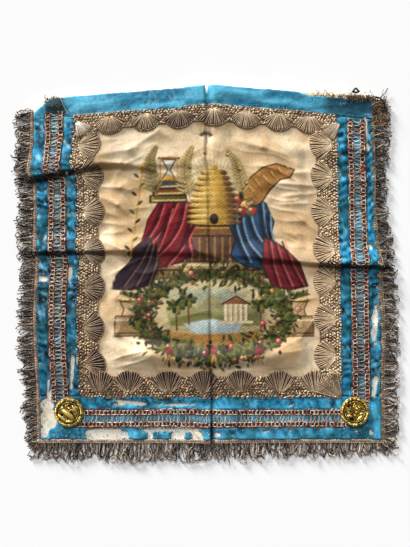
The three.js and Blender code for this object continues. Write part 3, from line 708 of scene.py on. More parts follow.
# Blue silk border, split and lost in places
Loss = namedtuple("Loss", "x y width depth turn")
LOSSES = [Loss(*row) for row in (
    (47.5, 404, 13, 13, 0), (49, 418, 16.5, 20, 0), (45, 431, 9, 10, 20), (48.0, 388, 2.2, 20, 3),
    (106.5, 433.8, 41, 12.4, 0), (175, 429, 54, 5.6, 0), (150.3, 434.7, 4.2, 9.2, 8),
    (177.8, 435, 14, 10.5, 0),
    (197, 435, 11, 10.5, 0), (217.5, 433.5, 6.7, 5, 0), (131, 402.2, 23, 2.9, 7), (119.5, 404, 9, 2.4, 0),
    (172.3, 404.2, 29, 2.5, 0), (291, 404.7, 4.2, 2.5, 0), (265, 431.3, 6.7, 3.3, 0),
    (290, 430, 2.6, 2.6, 0),
    (232, 434.7, 2.6, 1.8, 0), (356, 431, 4.2, 3.3, 0), (371, 432, 3.3, 4.2, 0), (69.5, 274, 5, 16, 8),
    (72, 370.5, 3.2, 25, 3), (67.5, 173.5, 3, 3.4, 0), (42.7, 278, 10.5, 6, 0), (50.5, 394, 3.0, 14, -6),
    (374.3, 324, 6.0, 38, 2), (374, 386, 5.2, 18, 6), (366.6, 136, 1.8, 22, -4), (45.5, 236, 3, 8, 10),
    (370, 247, 3, 7, -10),
)]


def loss_gap(x, y):
    """Distance in millimetres from the nearest lost silk, below zero inside it."""
    px, py = photo_from(x, y)
    gap = np.full(px.shape, 9.0)
    for loss in LOSSES:
        turn = np.radians(loss.turn)
        u = (px - loss.x) * np.cos(turn) + (py - loss.y) * np.sin(turn)
        v = (py - loss.y) * np.cos(turn) - (px - loss.x) * np.sin(turn)
        a = loss.width / 2
        b = loss.depth / 2
        reach = (np.abs(u / a) ** 3 + np.abs(v / b) ** 3) ** (1 / 3) - 1
        gap = np.minimum(gap, reach * min(a, b) * PHOTO_MM)
    return gap + 2.0 * (noise(x, y, 8.5, 31) - 0.5) + 0.6 * (noise(x, y, 2.8, 32) - 0.5)


def at_top(t):
    """From 0 on the side ribbons to 1 on the top ribbon."""
    return ease((t - 168) / 14)


def beside(s, t):
    """Whether a place is on a side ribbon."""
    return (np.abs(s) > RIBBON_INNER) & (t < TOP_RIBBON_FOOT)


def pucker(s, t):
    """Small folds of the silk between its seams, from 0 to 1."""
    bend = 5 * (noise(s, t, 14, 60) - 0.5)
    wander = t - 0.5 * np.abs(s) + 34 * noise(s * 0.3, t, 34, 56) + 1.5 * bend
    size = mix(0.08, 0.27, noise(s, t, 22, 62))
    on_side = 0.3 + size * np.sin(2 * np.pi * wander / 12.5) + 0.42 * noise(s * 0.5, t + bend, 5.3, 55)
    on_top = noise(s * 0.16, t + 0.5 * bend, 7.0, 57)
    on_bottom = 0.5 * noise(s + 0.6 * t + bend, 0.4 * t - 0.25 * s, 8.0, 58)
    on_bottom = on_bottom + 0.5 * noise(s + 0.8 * t, t - 0.8 * s, 17, 61)
    return np.where(t < -RIBBON_INNER, on_bottom, np.where(beside(s, t), on_side, on_top))


def silk_paint(s, t, x, y):
    px, py = photo_from(x, y)
    top = at_top(t)
    calm = np.maximum(top, 0.6 * ease((-160 - t) / 12))
    broad = layered_noise(x, y, 24, 41)
    fine = layered_noise(0.6 * x + 0.4 * y, y - 0.5 * x, 6, 44)
    streak = noise(x * 0.9 + y * 0.5, y * 0.25 - x * 0.3, 2.6, 48)
    # Painted shade in the hollows and painted highlight on the backs of the puckers, calmer along the waist
    # edge and the hem
    painted_hollow_shade = wash(rgb(2, 36, 52), rgb(42, 128, 162), calm)
    bright = wash(rgb(32, 148, 192), rgb(90, 184, 216), calm)
    colour = wash(painted_hollow_shade, bright, ease((pucker(s, t) + 0.7 * (broad - 0.5) - 0.18) / 0.55))
    # Painted highlights and painted shade of the small crinkles, from fine noise and from streaks, paler on
    # the left
    colour = wash(colour, rgb(80, 180, 216), mix(0.5, 0.3, calm) * ease((fine - 0.56) / 0.14))
    colour = wash(colour, rgb(2, 30, 46), mix(0.65, 0.2, calm) * ease((0.43 - fine) / 0.12))
    painted_streak_highlight = wash(rgb(170, 214, 226), rgb(96, 186, 218), ease(np.maximum(s, -80 - t) / 40 + 0.5))
    colour = wash(colour, painted_streak_highlight, mix(0.6, 0.15, calm) * ease((streak - 0.68) / 0.12))
    colour = wash(colour, rgb(2, 32, 44), mix(0.7, 0.1, calm) * ease((0.28 - streak) / 0.12))
    # Duller down the sides, with green patches, and worn pale round the losses
    low = ease((py - DULL_BELOW) / 60) * (np.abs(s) > RIBBON_INNER) * (t > -160) * np.where(s < 0, 1, 0.6)
    colour = colour * (1 - 0.4 * low)[:, None]
    green = ease((noise(x, y, 13, 50) - 0.55) / 0.2)
    colour = wash(colour, rgb(14, 84, 92), 0.6 * green * (1 - top))
    colour = wash(colour, rgb(178, 208, 206), 0.5 * ease((1.2 - loss_gap(x, y)) / 2.0))
    # Painted shade on the two ends of the top ribbon: folded at the left end, tilted away from the light at
    # the right end
    join_shade = ease((SHADED_JOIN.right - px) / 4) * ease((px - SHADED_JOIN.left) / 2)
    join_shade = join_shade * ease((SHADED_JOIN.bottom - py) / 3) * ease((py - SHADED_JOIN.top) / 3)
    colour = wash(colour, rgb(16, 52, 54), 0.85 * join_shade)
    end = ease((px - SHADED_END_X) / 14) * ease((SHADED_END_Y - py) / 6)
    colour = wash(colour, rgb(6, 50, 66), 0.8 * end)
    # Dark stitch holes along the inner seams, and painted shade where the lace edge lies over the silk
    side = beside(s, t)
    cross_gap = np.minimum(np.abs(t - TOP_RIBBON_FOOT), np.abs(t + RIBBON_INNER))
    seam = np.where(side, np.abs(s) - RIBBON_INNER, cross_gap)
    stitch = noise(np.where(side, t, s), seam, 2.9, 53)
    colour = wash(colour, rgb(6, 26, 38), 0.75 * ease((0.6 + 4.2 * stitch - seam) / 1.4))
    # Painted shade down the folds and along the crease
    return with_painted_shade(x, y, colour, 0.85)


def with_losses(edges):
    """Outline of a ribbon with its lost places taken out."""
    def outline(s, t):
        x, y, _, _ = drape(s, t)
        ragged = 0.7 * (noise(s, t, 4, 52) - 0.5)
        return np.minimum(edges(s, t) + ragged, loss_gap(x, y))
    return outline


UNDER_BRAID = 0.22
BRAID_HALF = 12


def silk_lift(s, t, row):
    """Height of the silk's small folds, pressed flat under the braid."""
    lift = mix(2.3, 1.3, at_top(t)) * ease(pucker(s, t)) + 0.35 * noise(s, t, 3.1, 59)
    x, y, _, _ = drape(s, t)
    lift = lift * mix(0.15, 1.0, ease(loss_gap(x, y) / 4))
    under_side = (np.abs(np.abs(s) - BRAID_MIDDLE) < BRAID_HALF) & (t < 182)
    under_bottom = (np.abs(t - BRAID_BOTTOM_MIDDLE) < BRAID_HALF) & (np.abs(s) < 165)
    pressed = under_side | under_bottom
    return np.where(pressed, UNDER_BRAID, 1.0) * lift


# Upper edge of the top ribbon, and the join that slants out from its foot at the left
MITRE_FOOT = 178
MITRE_HEIGHT = 24
MITRE_FOOT_S = -154.5
MITRE_HEAD_S = -175.5
SIDE_RIBBON_FOOT = -153.2
TOP_RIBBON_S = (-174.5, -154, 84, 110, 123, 154, 196)
TOP_RIBBON_T = (202, 203, 203.2, 202.5, 198.7, 198.8, 200)


def mitre_line(t):
    """Slanting join of the top and left ribbons."""
    return mix(MITRE_FOOT_S, MITRE_HEAD_S, (t - MITRE_FOOT) / MITRE_HEIGHT)


def top_edges(s, t):
    upper = np.interp(s, TOP_RIBBON_S, TOP_RIBBON_T) - t
    return least(t - TOP_RIBBON_FOOT, upper, s - mitre_line(t), 203 - s, slit_gap(s, t))


def left_edges(s, t):
    inner = np.where(t > MITRE_FOOT, mitre_line(t) - s, -RIBBON_INNER - s)
    corner = (201 - 0.75 * np.clip(-183 - s, 0, 30)) - t
    return least(s + RIBBON_OUTER, inner, t - SIDE_RIBBON_FOOT, corner)


def right_edges(s, t):
    return least(RIBBON_OUTER - s, s - RIBBON_INNER, 177.4 - t, t - SIDE_RIBBON_FOOT)


def bottom_edges(s, t):
    return least(RIBBON_OUTER - np.abs(s), -RIBBON_INNER - t, t + 205)


Ribbon = namedtuple("Ribbon", "node s t edges flat area")
RIBBONS = [
    Ribbon("ribbon_top", (-176, 204), (177.6, 204), top_edges, (0.370, 0.0255), 0.0091),
    Ribbon("ribbon_left", (-203, -153), (-154, 202), left_edges, (0.048, 0.355), 0.0162),
    Ribbon("ribbon_right", (153, 203), (-154, 178), right_edges, (0.048, 0.331), 0.0154),
    Ribbon("ribbon_bottom", (-203, 203), (-206, -153), bottom_edges, (0.404, 0.051), 0.0180),
]
SILK_PITCH = 1.35
for row in RIBBONS:
    piece = cloth_sheet(row.node + "_silk", grid_lines(*row.s, SILK_PITCH), grid_lines(*row.t, SILK_PITCH),
                        RIBBON, with_losses(row.edges), silk_paint, silk_lift)
    dress(piece, SILK, row.node)


# Printed satin field
PRINT_X = 214
GARLAND_Y = 315
GARLAND_WIDE = 71
GARLAND_DEEP = 41
GARLAND_LEAVES = 1250
FAR = 99.0


class Print:
    """Paints inks over the satin's own colour, at photo positions."""

    def __init__(self, px, py, colour):
        self.px = px
        self.py = py
        self.colour = colour
        self.ink = np.zeros(len(px))
        self.hatch = 0.5 + 0.5 * np.sin((px * 0.55 + py * 0.9) * 2 * np.pi / 2.6)
        self.grain = layered_noise(px, py, 2.2, 61)

    def near(self, x0, y0, x1, y1):
        inside = (self.px > x0 - 3) & (self.px < x1 + 3) & (self.py > y0 - 3) & (self.py < y1 + 3)
        return np.nonzero(inside)[0]

    def lay(self, index, amount, ink, light=0.0):
        """Blends an ink in; light brightens or darkens it from place to place."""
        amount = np.clip(amount, 0, 1)[:, None]
        tone = 1 + light - 0.42 * self.hatch[index] * (self.grain[index] > 0.4)
        tone = tone + 0.8 * (self.grain[index] - 0.5)
        inked = ink * np.clip(tone, 0.15, 1.9)[:, None]
        self.colour[index] = mix(self.colour[index], inked, amount)
        self.ink[index] = np.maximum(self.ink[index], amount[:, 0])

    def blob(self, x, y, rx, ry, ink, alpha=1.0, turn=0.0, soft=0.8):
        reach = max(rx, ry)
        index = self.near(x - reach, y - reach, x + reach, y + reach)
        dx = self.px[index] - x
        dy = self.py[index] - y
        u = (dx * np.cos(turn) + dy * np.sin(turn)) / rx
        v = (dy * np.cos(turn) - dx * np.sin(turn)) / ry
        gap = (1 - np.hypot(u, v)) * min(rx, ry)
        light = -0.28 * (dx + 1.4 * dy) / reach
        self.lay(index, alpha * (gap / soft + 0.5), ink, light)

    def shape(self, corners, ink, alpha=1.0, soft=0.8, outline=None):
        corners = np.asarray(corners, float)
        low = corners.min(axis=0)
        high = corners.max(axis=0)
        index = self.near(low[0], low[1], high[0], high[1])
        px = self.px[index]
        py = self.py[index]
        inside = np.zeros(len(index), bool)
        gap = np.full(len(index), FAR)
        for (x0, y0), (x1, y1) in zip(corners, np.roll(corners, -1, axis=0)):
            crosses = (y0 > py) != (y1 > py)
            at = x0 + (py - y0) * (x1 - x0) / (y1 - y0 if y1 != y0 else 1e-9)
            inside ^= crosses & (px < at)
            gap = np.minimum(gap, segment_distance(px, py, x0, y0, x1, y1))
        signed = np.where(inside, gap, -gap)
        middle = (low + high) / 2
        size = (high - low).max() / 2
        light = -0.22 * ((px - middle[0]) + (py - middle[1])) / size
        self.lay(index, alpha * (signed / soft + 0.5), ink, light)
        if outline is not None:
            self.lay(index, 0.95 * (1.3 - gap), outline)

    def line(self, points, width, ink, alpha=1.0):
        points = np.asarray(points, float)
        low = points.min(axis=0)
        high = points.max(axis=0)
        index = self.near(low[0] - width, low[1] - width, high[0] + width, high[1] + width)
        gap = np.full(len(index), FAR)
        for (x0, y0), (x1, y1) in zip(points[:-1], points[1:]):
            gap = np.minimum(gap, segment_distance(self.px[index], self.py[index], x0, y0, x1, y1))
        self.lay(index, alpha * (width / 2 + 0.5 - gap), ink)


DARK_INK = rgb(48, 34, 26)
BROWN_INK = rgb(112, 74, 42)
GOLD_INK = rgb(206, 158, 66)
PALE_GOLD = rgb(236, 208, 132)
CRIMSON = rgb(134, 26, 38)
BLUE_INK = rgb(40, 72, 104)
STONE = rgb(182, 148, 100)
LEAVES = [rgb(58, 70, 30), rgb(92, 100, 44), rgb(30, 40, 20), rgb(118, 108, 52), rgb(70, 52, 28)]
BLOOMS = [rgb(186, 66, 62), rgb(222, 150, 128), rgb(212, 172, 74), rgb(150, 44, 50)]


def curve(points, count=16):
    """Smooth line through a few points."""
    points = np.asarray(points, float)
    at = np.linspace(0, len(points) - 1, count)
    steps = np.arange(len(points))
    out = np.column_stack([np.interp(at, steps, points[:, 0]), np.interp(at, steps, points[:, 1])])
    for _ in range(3):
        out[1:-1] = (out[:-2] + 2 * out[1:-1] + out[2:]) / 4
    return out


def paint_sunburst(art):
    for k in range(25):
        angle = np.radians(-8 - 164 * k / 24)
        reach = np.array([[14], [46 if k % 2 else 34]])
        ray = np.array([PRINT_X, 192]) + reach * (np.cos(angle), np.sin(angle))
        art.line(ray, 1.6, PALE_GOLD, 0.55)
        art.line(ray, 0.3, BROWN_INK, 0.4)


def paint_hive(art):
    coils = 10
    for k in range(coils):
        f = k / (coils - 1)
        y = 172 + 50 * f
        half = 7 + 20 * np.sin(np.pi / 2 * min(1.0, 0.25 + 0.95 * f)) - 2
        art.blob(PRINT_X, y + 1.2, half + 1, 3.9, DARK_INK, 0.9)
        art.blob(PRINT_X, y, half, 3.0, GOLD_INK)
        art.blob(PRINT_X - half * 0.35, y - 0.9, half * 0.5, 1.1, PALE_GOLD, 0.9)
        art.blob(PRINT_X + half * 0.72, y + 0.4, half * 0.25, 2.2, BROWN_INK, 0.7)
    art.blob(PRINT_X, 219, 4.6, 5.6, DARK_INK)
    art.blob(PRINT_X, 168, 3.4, 2.6, GOLD_INK)
    for x, y in ((190, 168), (239, 170), (246, 184), (184, 184), (205, 154), (227, 156)):
        art.blob(x, y, 1.9, 1.1, DARK_INK, 0.9, turn=0.5)
        art.blob(x + 1, y - 1.4, 1.5, 0.8, PALE_GOLD, 0.8, turn=-0.6)


def paint_drape(art, corners, folds, ink, dark, bright):
    """Gathered cloth with a broad dark, a thin dark and a bright line down each fold."""
    art.shape(corners, ink, outline=dark)
    for fold in folds:
        path = curve(fold)
        art.line(path, 4.2, dark, 0.85)
        art.line(path + (3.0, -0.6), 1.8, bright, 0.8)
        art.line(path + (-2.8, 0.8), 1.2, dark, 0.7)


def paint_skirt(art, corners, ink, folds, top, bend, dark, bright):
    """Falling cloth whose folds run from x at its top to x at its foot."""
    art.shape(corners, ink, outline=DARK_INK)
    for x0, x1 in folds:
        path = curve([(x0, top), ((x0 + x1) / 2 + bend, 264), (x1, 286)])
        art.line(path, 2.2, dark, 0.8)
        art.line(path + (3, 0), 1.1, bright, 0.7)


def paint_fern(art, points, size, ink):
    """Branch of narrow leaves."""
    path = curve(points, 15)
    art.line(path, 1.0, BROWN_INK, 0.9)
    for k in range(1, len(path)):
        dx, dy = path[k] - path[k - 1]
        angle = np.arctan2(dy, dx)
        reach = size * (1.1 - k / len(path))
        for side in (-1, 1):
            turn = angle + 0.9 * side
            x = path[k, 0] + 0.8 * reach * np.cos(turn)
            y = path[k, 1] + 0.8 * reach * np.sin(turn)
            art.blob(x, y, 0.9 * reach + 0.5, 1.7, BROWN_INK, 0.75, turn)
            art.blob(x, y, 0.9 * reach, 1.1, ink, 0.9, turn)


def paint_left_group(art):
    corners = [(176, 198), (192, 204), (198, 220), (190, 236), (196, 250), (182, 262), (160, 268),
               (138, 265), (128, 254), (142, 242), (148, 220), (158, 204)]
    folds = [[(176, 202), (168, 222), (150, 244), (134, 256)],
             [(184, 204), (180, 226), (168, 246), (148, 264)],
             [(190, 210), (188, 232), (182, 248), (166, 266)],
             [(162, 206), (156, 224), (146, 240)],
             [(194, 226), (186, 240), (190, 256)],
             [(170, 210), (164, 232), (156, 252)]]
    paint_drape(art, corners, folds, CRIMSON, rgb(74, 14, 24), rgb(206, 92, 88))
    books = [(150, 196, 186, 203, rgb(96, 82, 40)), (153, 189, 184, 196, rgb(128, 72, 36)),
             (156, 182, 181, 189, rgb(70, 84, 96))]
    for x0, y0, x1, y1, ink in books:
        art.shape([(x0, y0), (x1, y0 - 1), (x1 + 1, y1 - 1), (x0, y1)], ink, outline=DARK_INK)
        art.line([(x0 + 4, y1 - 2.2), (x1 - 1, y1 - 3)], 1.4, PALE_GOLD, 0.9)
        art.line([(x0 + 3, y0 + 1), (x0 + 3, y1 - 1)], 1.2, GOLD_INK, 0.9)
    glass = rgb(222, 214, 190)
    art.shape([(162, 160), (176, 160), (170, 170), (176, 180), (162, 180), (168, 170)], glass,
              outline=BROWN_INK)
    art.shape([(165, 176), (173, 176), (175, 180), (163, 180)], GOLD_INK)
    for y in (158.5, 181):
        art.line([(159, y), (179, y)], 2.6, BROWN_INK)
        art.line([(160, y - 0.8), (178, y - 0.8)], 0.8, GOLD_INK)
    for x in (160.5, 177.5):
        art.line([(x, 160), (x, 180)], 1.4, GOLD_INK)
    corners = [(150, 238), (160, 262), (152, 284), (132, 290), (112, 289), (116, 276), (130, 262),
               (138, 246)]
    paint_skirt(art, corners, rgb(58, 36, 48), ((148, 122), (152, 134), (156, 146)), 244, 3,
                rgb(28, 18, 24), rgb(150, 104, 84))
    paint_fern(art, [(158, 196), (150, 176), (150, 160), (156, 148)], 7, rgb(150, 138, 78))
    paint_fern(art, [(190, 198), (184, 176), (186, 160), (192, 148)], 7, rgb(196, 172, 104))
    art.line(curve([(142, 172), (139, 200), (134, 236), (131, 258)]), 1.8, GOLD_INK)
    art.blob(142.5, 169, 2.6, 4.2, GOLD_INK)
    for k in range(9):
        y = 176 + 9 * k
        side = 1 if k % 2 else -1
        art.blob(140.5 - 0.12 * (y - 172) + 3.4 * side, y, 3.4, 1.5, LEAVES[k % 3], 0.9, -0.7 * side)


def paint_right_group(art):
    corners = [(232, 204), (252, 194), (266, 204), (274, 222), (270, 238), (286, 250), (290, 262),
               (268, 270), (244, 266), (230, 256), (236, 240), (228, 224)]
    folds = [[(250, 198), (248, 218), (256, 240), (280, 258)],
             [(242, 202), (240, 222), (246, 244), (264, 264)],
             [(260, 204), (262, 222), (264, 238), (286, 256)],
             [(234, 210), (234, 228), (240, 246), (248, 262)],
             [(268, 214), (268, 230), (272, 242)]]
    paint_drape(art, corners, folds, BLUE_INK, rgb(18, 32, 50), rgb(128, 162, 184))
    horn = [(288, 168), (276, 164), (262, 168), (250, 178), (240, 192), (236, 202), (250, 210),
            (262, 202), (270, 190), (280, 180), (290, 178), (294, 170)]
    art.shape(horn, rgb(170, 116, 52), outline=DARK_INK)
    for k in range(7):
        f = k / 6
        x = mix(244, 286, f)
        y = mix(198, 168, f ** 0.8)
        half = mix(10, 3.5, f)
        art.line([(x - half * 0.6, y - half * 0.8), (x + half * 0.6, y + half * 0.8)], 1.1, BROWN_INK, 0.8)
        art.line([(x + 2 - half * 0.6, y - half * 0.8), (x + 2, y)], 0.8, PALE_GOLD, 0.8)
    corners = [(264, 236), (286, 250), (300, 264), (308, 286), (290, 290), (272, 286), (262, 264)]
    paint_skirt(art, corners, rgb(120, 30, 38), ((268, 278), (274, 290), (282, 302)), 242, -2,
                rgb(54, 14, 22), rgb(206, 112, 96))
    paint_fern(art, [(244, 196), (240, 176), (236, 162), (228, 152)], 6, rgb(196, 172, 104))
    fruit = [(238, 200, 5, 0), (246, 206, 5.4, 2), (234, 208, 4.6, 1), (242, 212, 5, 3), (252, 211, 4.4, 0),
             (230, 200, 3.6, 2), (250, 203, 3.4, 1)]
    for x, y, r, kind in fruit:
        art.blob(x, y, r + 0.8, r + 0.8, DARK_INK, 0.9)
        art.blob(x, y, r, r, BLOOMS[kind])
        art.blob(x - r * 0.35, y - r * 0.4, r * 0.35, r * 0.3, PALE_GOLD, 0.8)
    for k in range(8):
        x = 240 + 13 * np.cos(0.8 * k)
        y = 206 + 10 * np.sin(0.8 * k)
        art.blob(x, y, 4.2, 1.9, LEAVES[k % 4], 0.95, 0.8 * k)


def paint_masonry(art):
    shadow = rgb(92, 62, 36)
    art.shape([(176, 225), (252, 225), (256, 236), (172, 236)], rgb(126, 84, 46), outline=DARK_INK)
    art.line([(176, 228), (252, 228)], 1.2, GOLD_INK, 0.9)
    art.shape([(190, 236), (240, 236), (244, 262), (186, 262)], rgb(88, 60, 38), outline=DARK_INK)
    for k in range(7):
        x = 192 + 7.6 * k
        art.line([(x, 238), (x, 260)], 1.8, rgb(150, 110, 62), 0.9)
    art.shape([(140, 262), (292, 262), (296, 270), (136, 270)], STONE, outline=DARK_INK)
    art.shape([(146, 270), (286, 270), (282, 278), (150, 278)], rgb(150, 112, 70), outline=DARK_INK)
    art.line([(140, 265), (292, 265)], 1.4, rgb(236, 216, 170), 0.9)
    for k in range(24):
        x = 152 + 5.6 * k
        art.line([(x, 272), (x, 276)], 1.6, shadow, 0.8)
    for side in (-1, 1):
        x = PRINT_X + 84 * side
        art.shape([(x - 14, 316), (x + 14, 316), (x + 16, 336), (x - 16, 336)], STONE, outline=BROWN_INK)
        art.line([(x - 15, 320), (x + 15, 320)], 1.6, rgb(240, 222, 180), 0.9)
        art.line([(x - 15, 333), (x + 15, 333)], 1.8, shadow, 0.8)
        art.shape([(x - 10, 300), (x + 10, 300), (x + 6, 309), (x + 8, 316), (x - 8, 316), (x - 6, 309)],
                  rgb(214, 176, 128), outline=BROWN_INK)
        art.blob(x, 300, 12, 2.6, shadow, 0.9)
        art.blob(x, 299, 11, 1.8, PALE_GOLD, 0.8)


def paint_vignette(art):
    art.blob(PRINT_X, 316, 58, 36, rgb(196, 176, 128), 0.9, soft=8)
    art.blob(206, 296, 40, 9, rgb(176, 178, 150), 0.75, soft=4)
    art.blob(PRINT_X, 350, 52, 8, rgb(150, 92, 66), 0.8, soft=4)
    art.shape([(166, 312), (182, 298), (196, 308), (212, 294), (232, 308), (250, 300), (264, 314),
               (262, 322), (168, 322)], rgb(158, 150, 104), 0.85, soft=2)
    art.shape([(170, 318), (200, 312), (232, 316), (258, 312), (260, 326), (170, 326)],
              rgb(120, 118, 66), 0.85, soft=2)
    art.shape([(184, 324), (210, 319), (244, 323), (236, 333), (196, 334)], rgb(182, 196, 192), soft=2)
    art.shape([(164, 330), (192, 334), (238, 333), (266, 328), (256, 344), (176, 345)],
              rgb(168, 122, 64), 0.9, soft=2)
    art.shape([(222, 304), (236, 296), (250, 304)], rgb(152, 92, 58), outline=DARK_INK)
    art.shape([(224, 304), (248, 304), (248, 321), (224, 321)], rgb(204, 178, 134), 0.9)
    for k in range(5):
        x = 226 + 5 * k
        art.line([(x, 305), (x, 320)], 1.7, rgb(240, 224, 186))
        art.line([(x + 1.6, 305), (x + 1.6, 320)], 0.8, BROWN_INK, 0.8)
    art.line([(220, 322), (252, 322)], 2.2, rgb(226, 202, 156))
    for x, y, size in ((176, 306, 9), (188, 300, 7), (260, 305, 8)):
        art.line([(x, y), (x + 1, y + 24)], 2.0, BROWN_INK)
        for k in range(14):
            angle = 2.4 * k
            reach = size * (k / 14) ** 0.5
            art.blob(x + reach * np.cos(angle), y + 0.8 * reach * np.sin(angle), 3.2, 2.2,
                     LEAVES[k % 4], 0.9, angle)


def paint_garland(art):
    rng = np.random.default_rng(71)
    for angle in np.arange(0, 2 * np.pi, 0.12):
        x = PRINT_X + GARLAND_WIDE * np.cos(angle)
        art.blob(x, GARLAND_Y + GARLAND_DEEP * np.sin(angle), 10, 7, rgb(66, 66, 38), 0.22)
    for k in range(GARLAND_LEAVES):
        angle = rng.uniform(0, 2 * np.pi)
        if np.sin(angle) < -0.7 and rng.random() < 0.4:
            continue
        spread = rng.normal(0, 6.5)
        x = PRINT_X + (GARLAND_WIDE + spread) * np.cos(angle)
        y = GARLAND_Y + (GARLAND_DEEP + spread) * np.sin(angle)
        art.blob(x, y, rng.uniform(2.2, 4.0), rng.uniform(1.0, 1.8), LEAVES[k % 5], 0.92,
                 angle + rng.uniform(-1.2, 1.2))
        if k % 29 == 0:
            r = rng.uniform(1.8, 3.0)
            art.blob(x, y, r + 0.7, r + 0.7, DARK_INK, 0.7)
            art.blob(x, y, r, r, BLOOMS[(k // 29) % 4])
            art.blob(x - 0.6, y - 0.8, r * 0.45, r * 0.4, rgb(240, 190, 170), 0.8)
    for x0, x1 in ((152, 122), (276, 306)):
        path = curve([(x0, 272), ((x0 + x1) / 2, 296), (x1, 292)], 14)
        for k, (x, y) in enumerate(path):
            art.blob(x, y, 3.4, 1.6, LEAVES[k % 5], 0.9, 0.9 * k)
            art.blob(x + 2, y + 2, 2.2, 1.2, LEAVES[(k + 2) % 5], 0.9, -0.7 * k)
    for x in (170, PRINT_X, 258):
        for k in range(5):
            art.line([(x, 352), (x - 5 + 2.5 * k, 364)], 1.1, GOLD_INK if k % 2 else BROWN_INK, 0.85)
        art.blob(x, 351, 3.4, 3.0, CRIMSON)


def paint_sprig(art):
    """Small dark sprig above the print."""
    for angle in np.linspace(-2.6, -0.5, 7):
        art.blob(206 + 6 * np.cos(angle), 138 + 5 * np.sin(angle), 2.4, 1.1, DARK_INK, 0.8, angle)
    art.line([(206, 134), (207, 143)], 1.2, DARK_INK, 0.8)


# Depth of the painted shade on the satin for red, green and blue, deeper in blue so the shade is warm
SATIN_SHADE_DEPTH = np.array([0.36, 0.46, 0.6])


def satin_paint(s, t, x, y):
    """Toned satin, darker at its upper left, with painted shade and dirt under the lace, and the print over
    it.
    """
    px, py = photo_from(x, y)
    broad = layered_noise(x, y, 46, 81)
    fine = layered_noise(x, y, 9, 84)
    colour = wash(rgb(208, 174, 128), rgb(238, 216, 180), ease((broad - 0.28) / 0.45))
    colour = wash(colour, rgb(180, 142, 94), 0.35 * ease((0.42 - fine) / 0.2))
    toned = ease((TONED_X - px) / 50) * ease((TONED_Y - py) / 40)
    shaded = ease((SHADED_X - px) / 30) * ease((15 - np.abs(py - SHADED_Y)) / 14)
    colour = colour * (1 - 0.18 * toned)[:, None] * (1 - 0.2 * shaded)[:, None]
    # Painted shade and dirt along the edges of the opening, where the lace lies over the satin
    rim = least(px - SATIN_OPEN.left, SATIN_OPEN.right - px, py - SATIN_OPEN.top, SATIN_OPEN.bottom - py)
    colour = wash(colour, rgb(164, 134, 92), 0.45 * ease((9 - rim) / 14))
    art = Print(px, py, colour)
    for paint in (paint_sunburst, paint_masonry, paint_vignette, paint_garland, paint_sprig,
                  paint_left_group, paint_right_group, paint_hive):
        paint(art)
    # Painted shade down the folds and along the crease darkens the satin and its print
    return np.column_stack([with_painted_shade(x, y, art.colour, SATIN_SHADE_DEPTH), 1 - 0.6 * art.ink])


def panel_outline(s, t):
    return least(PANEL_HALF_WIDTH - np.abs(s), PANEL_TOP - t, t - PANEL_BOTTOM)


def panel_lift(s, t, row):
    """The roll of slack satin above the bottom lace, and small folds towards the sides."""
    along = np.clip(1.6 * (1 - (s / ROLL_HALF_WIDTH) ** 2), 0, 1)
    side = np.clip(1 - np.abs(row - ROLL_ROW), 0, 1)
    bend = 12 * noise(s, t, 40, 64)
    ridge = 1 - np.abs(2 * noise(s * 0.3, t + bend + 0.3 * np.abs(s), 13, 62) - 1)
    broad = 1 - np.abs(2 * noise(s * 0.5 + t * 0.2, t - bend, 30, 63) - 1)
    free = ease((119 - np.abs(s + 1)) / 12) * ease((145 - t) / 12) * ease((t + 124) / 10)
    slack = free * mix(0.35, 1, ease((np.abs(s - 6) - 40) / 50))
    return ROLL_HEIGHT * along * ease(side) + slack * (1.2 * ridge ** 3 + 2.0 * broad ** 2)


PRINT_PITCH = 1.06
PLAIN_PITCH = 2.6


def panel_lines(first, print_first, print_last, last):
    """Grid lines, close where the satin shows and wide under the lace."""
    return np.concatenate([grid_lines(first, print_first, PLAIN_PITCH)[:-1],
                           grid_lines(print_first, print_last, PRINT_PITCH),
                           grid_lines(print_last, last, PLAIN_PITCH)[1:]])


panel = cloth_sheet("satin_panel_cloth", panel_lines(-150.5, -110, 122, 150.5),
                    panel_lines(-151.5, -132, 150, 175.5), PANEL, panel_outline, satin_paint,
                    panel_lift, closed=False)
dress(panel, SATIN, "satin_panel")


# Openwork braid: two barred rails, crossed threads between them and small loops outside
Track = namedtuple("Track", "node upright middle outward first last")
BRAIDS = [
    Track("braid_left", True, -BRAID_MIDDLE, -1, -161, 186),
    Track("braid_right", True, BRAID_MIDDLE, 1, -161, 176.5),
    Track("braid_bottom", False, BRAID_BOTTOM_MIDDLE, -1, -160, 163),
]
BRAID_PERIOD = 4.6
RAIL_MIDDLE = 7.2
RAIL_HALF = 2.25
BRAID_BASE = 3.5
BRAID_COPPER = [rgb(140, 36, 36), rgb(112, 24, 30), rgb(60, 34, 30), rgb(168, 74, 50), rgb(84, 52, 36)]
BRAID_CREAM = [rgb(250, 234, 208), rgb(232, 190, 160), rgb(204, 160, 116), rgb(228, 216, 196),
               rgb(170, 126, 96)]
BRAID_DARK = rgb(46, 34, 34)


def track_place(track, u, v, w):
    """Point on the cloth at u along a track and v out from its middle."""
    return on_cloth(*turned(track.upright, u, track.middle + track.outward * v), w)


def pick(rng, colours, count, spread=0.16):
    """Random colours of a list, each a little lighter or darker."""
    chosen = np.array(colours)[rng.integers(0, len(colours), count)]
    return chosen * (1 + rng.uniform(-spread, spread, (count, 1)))


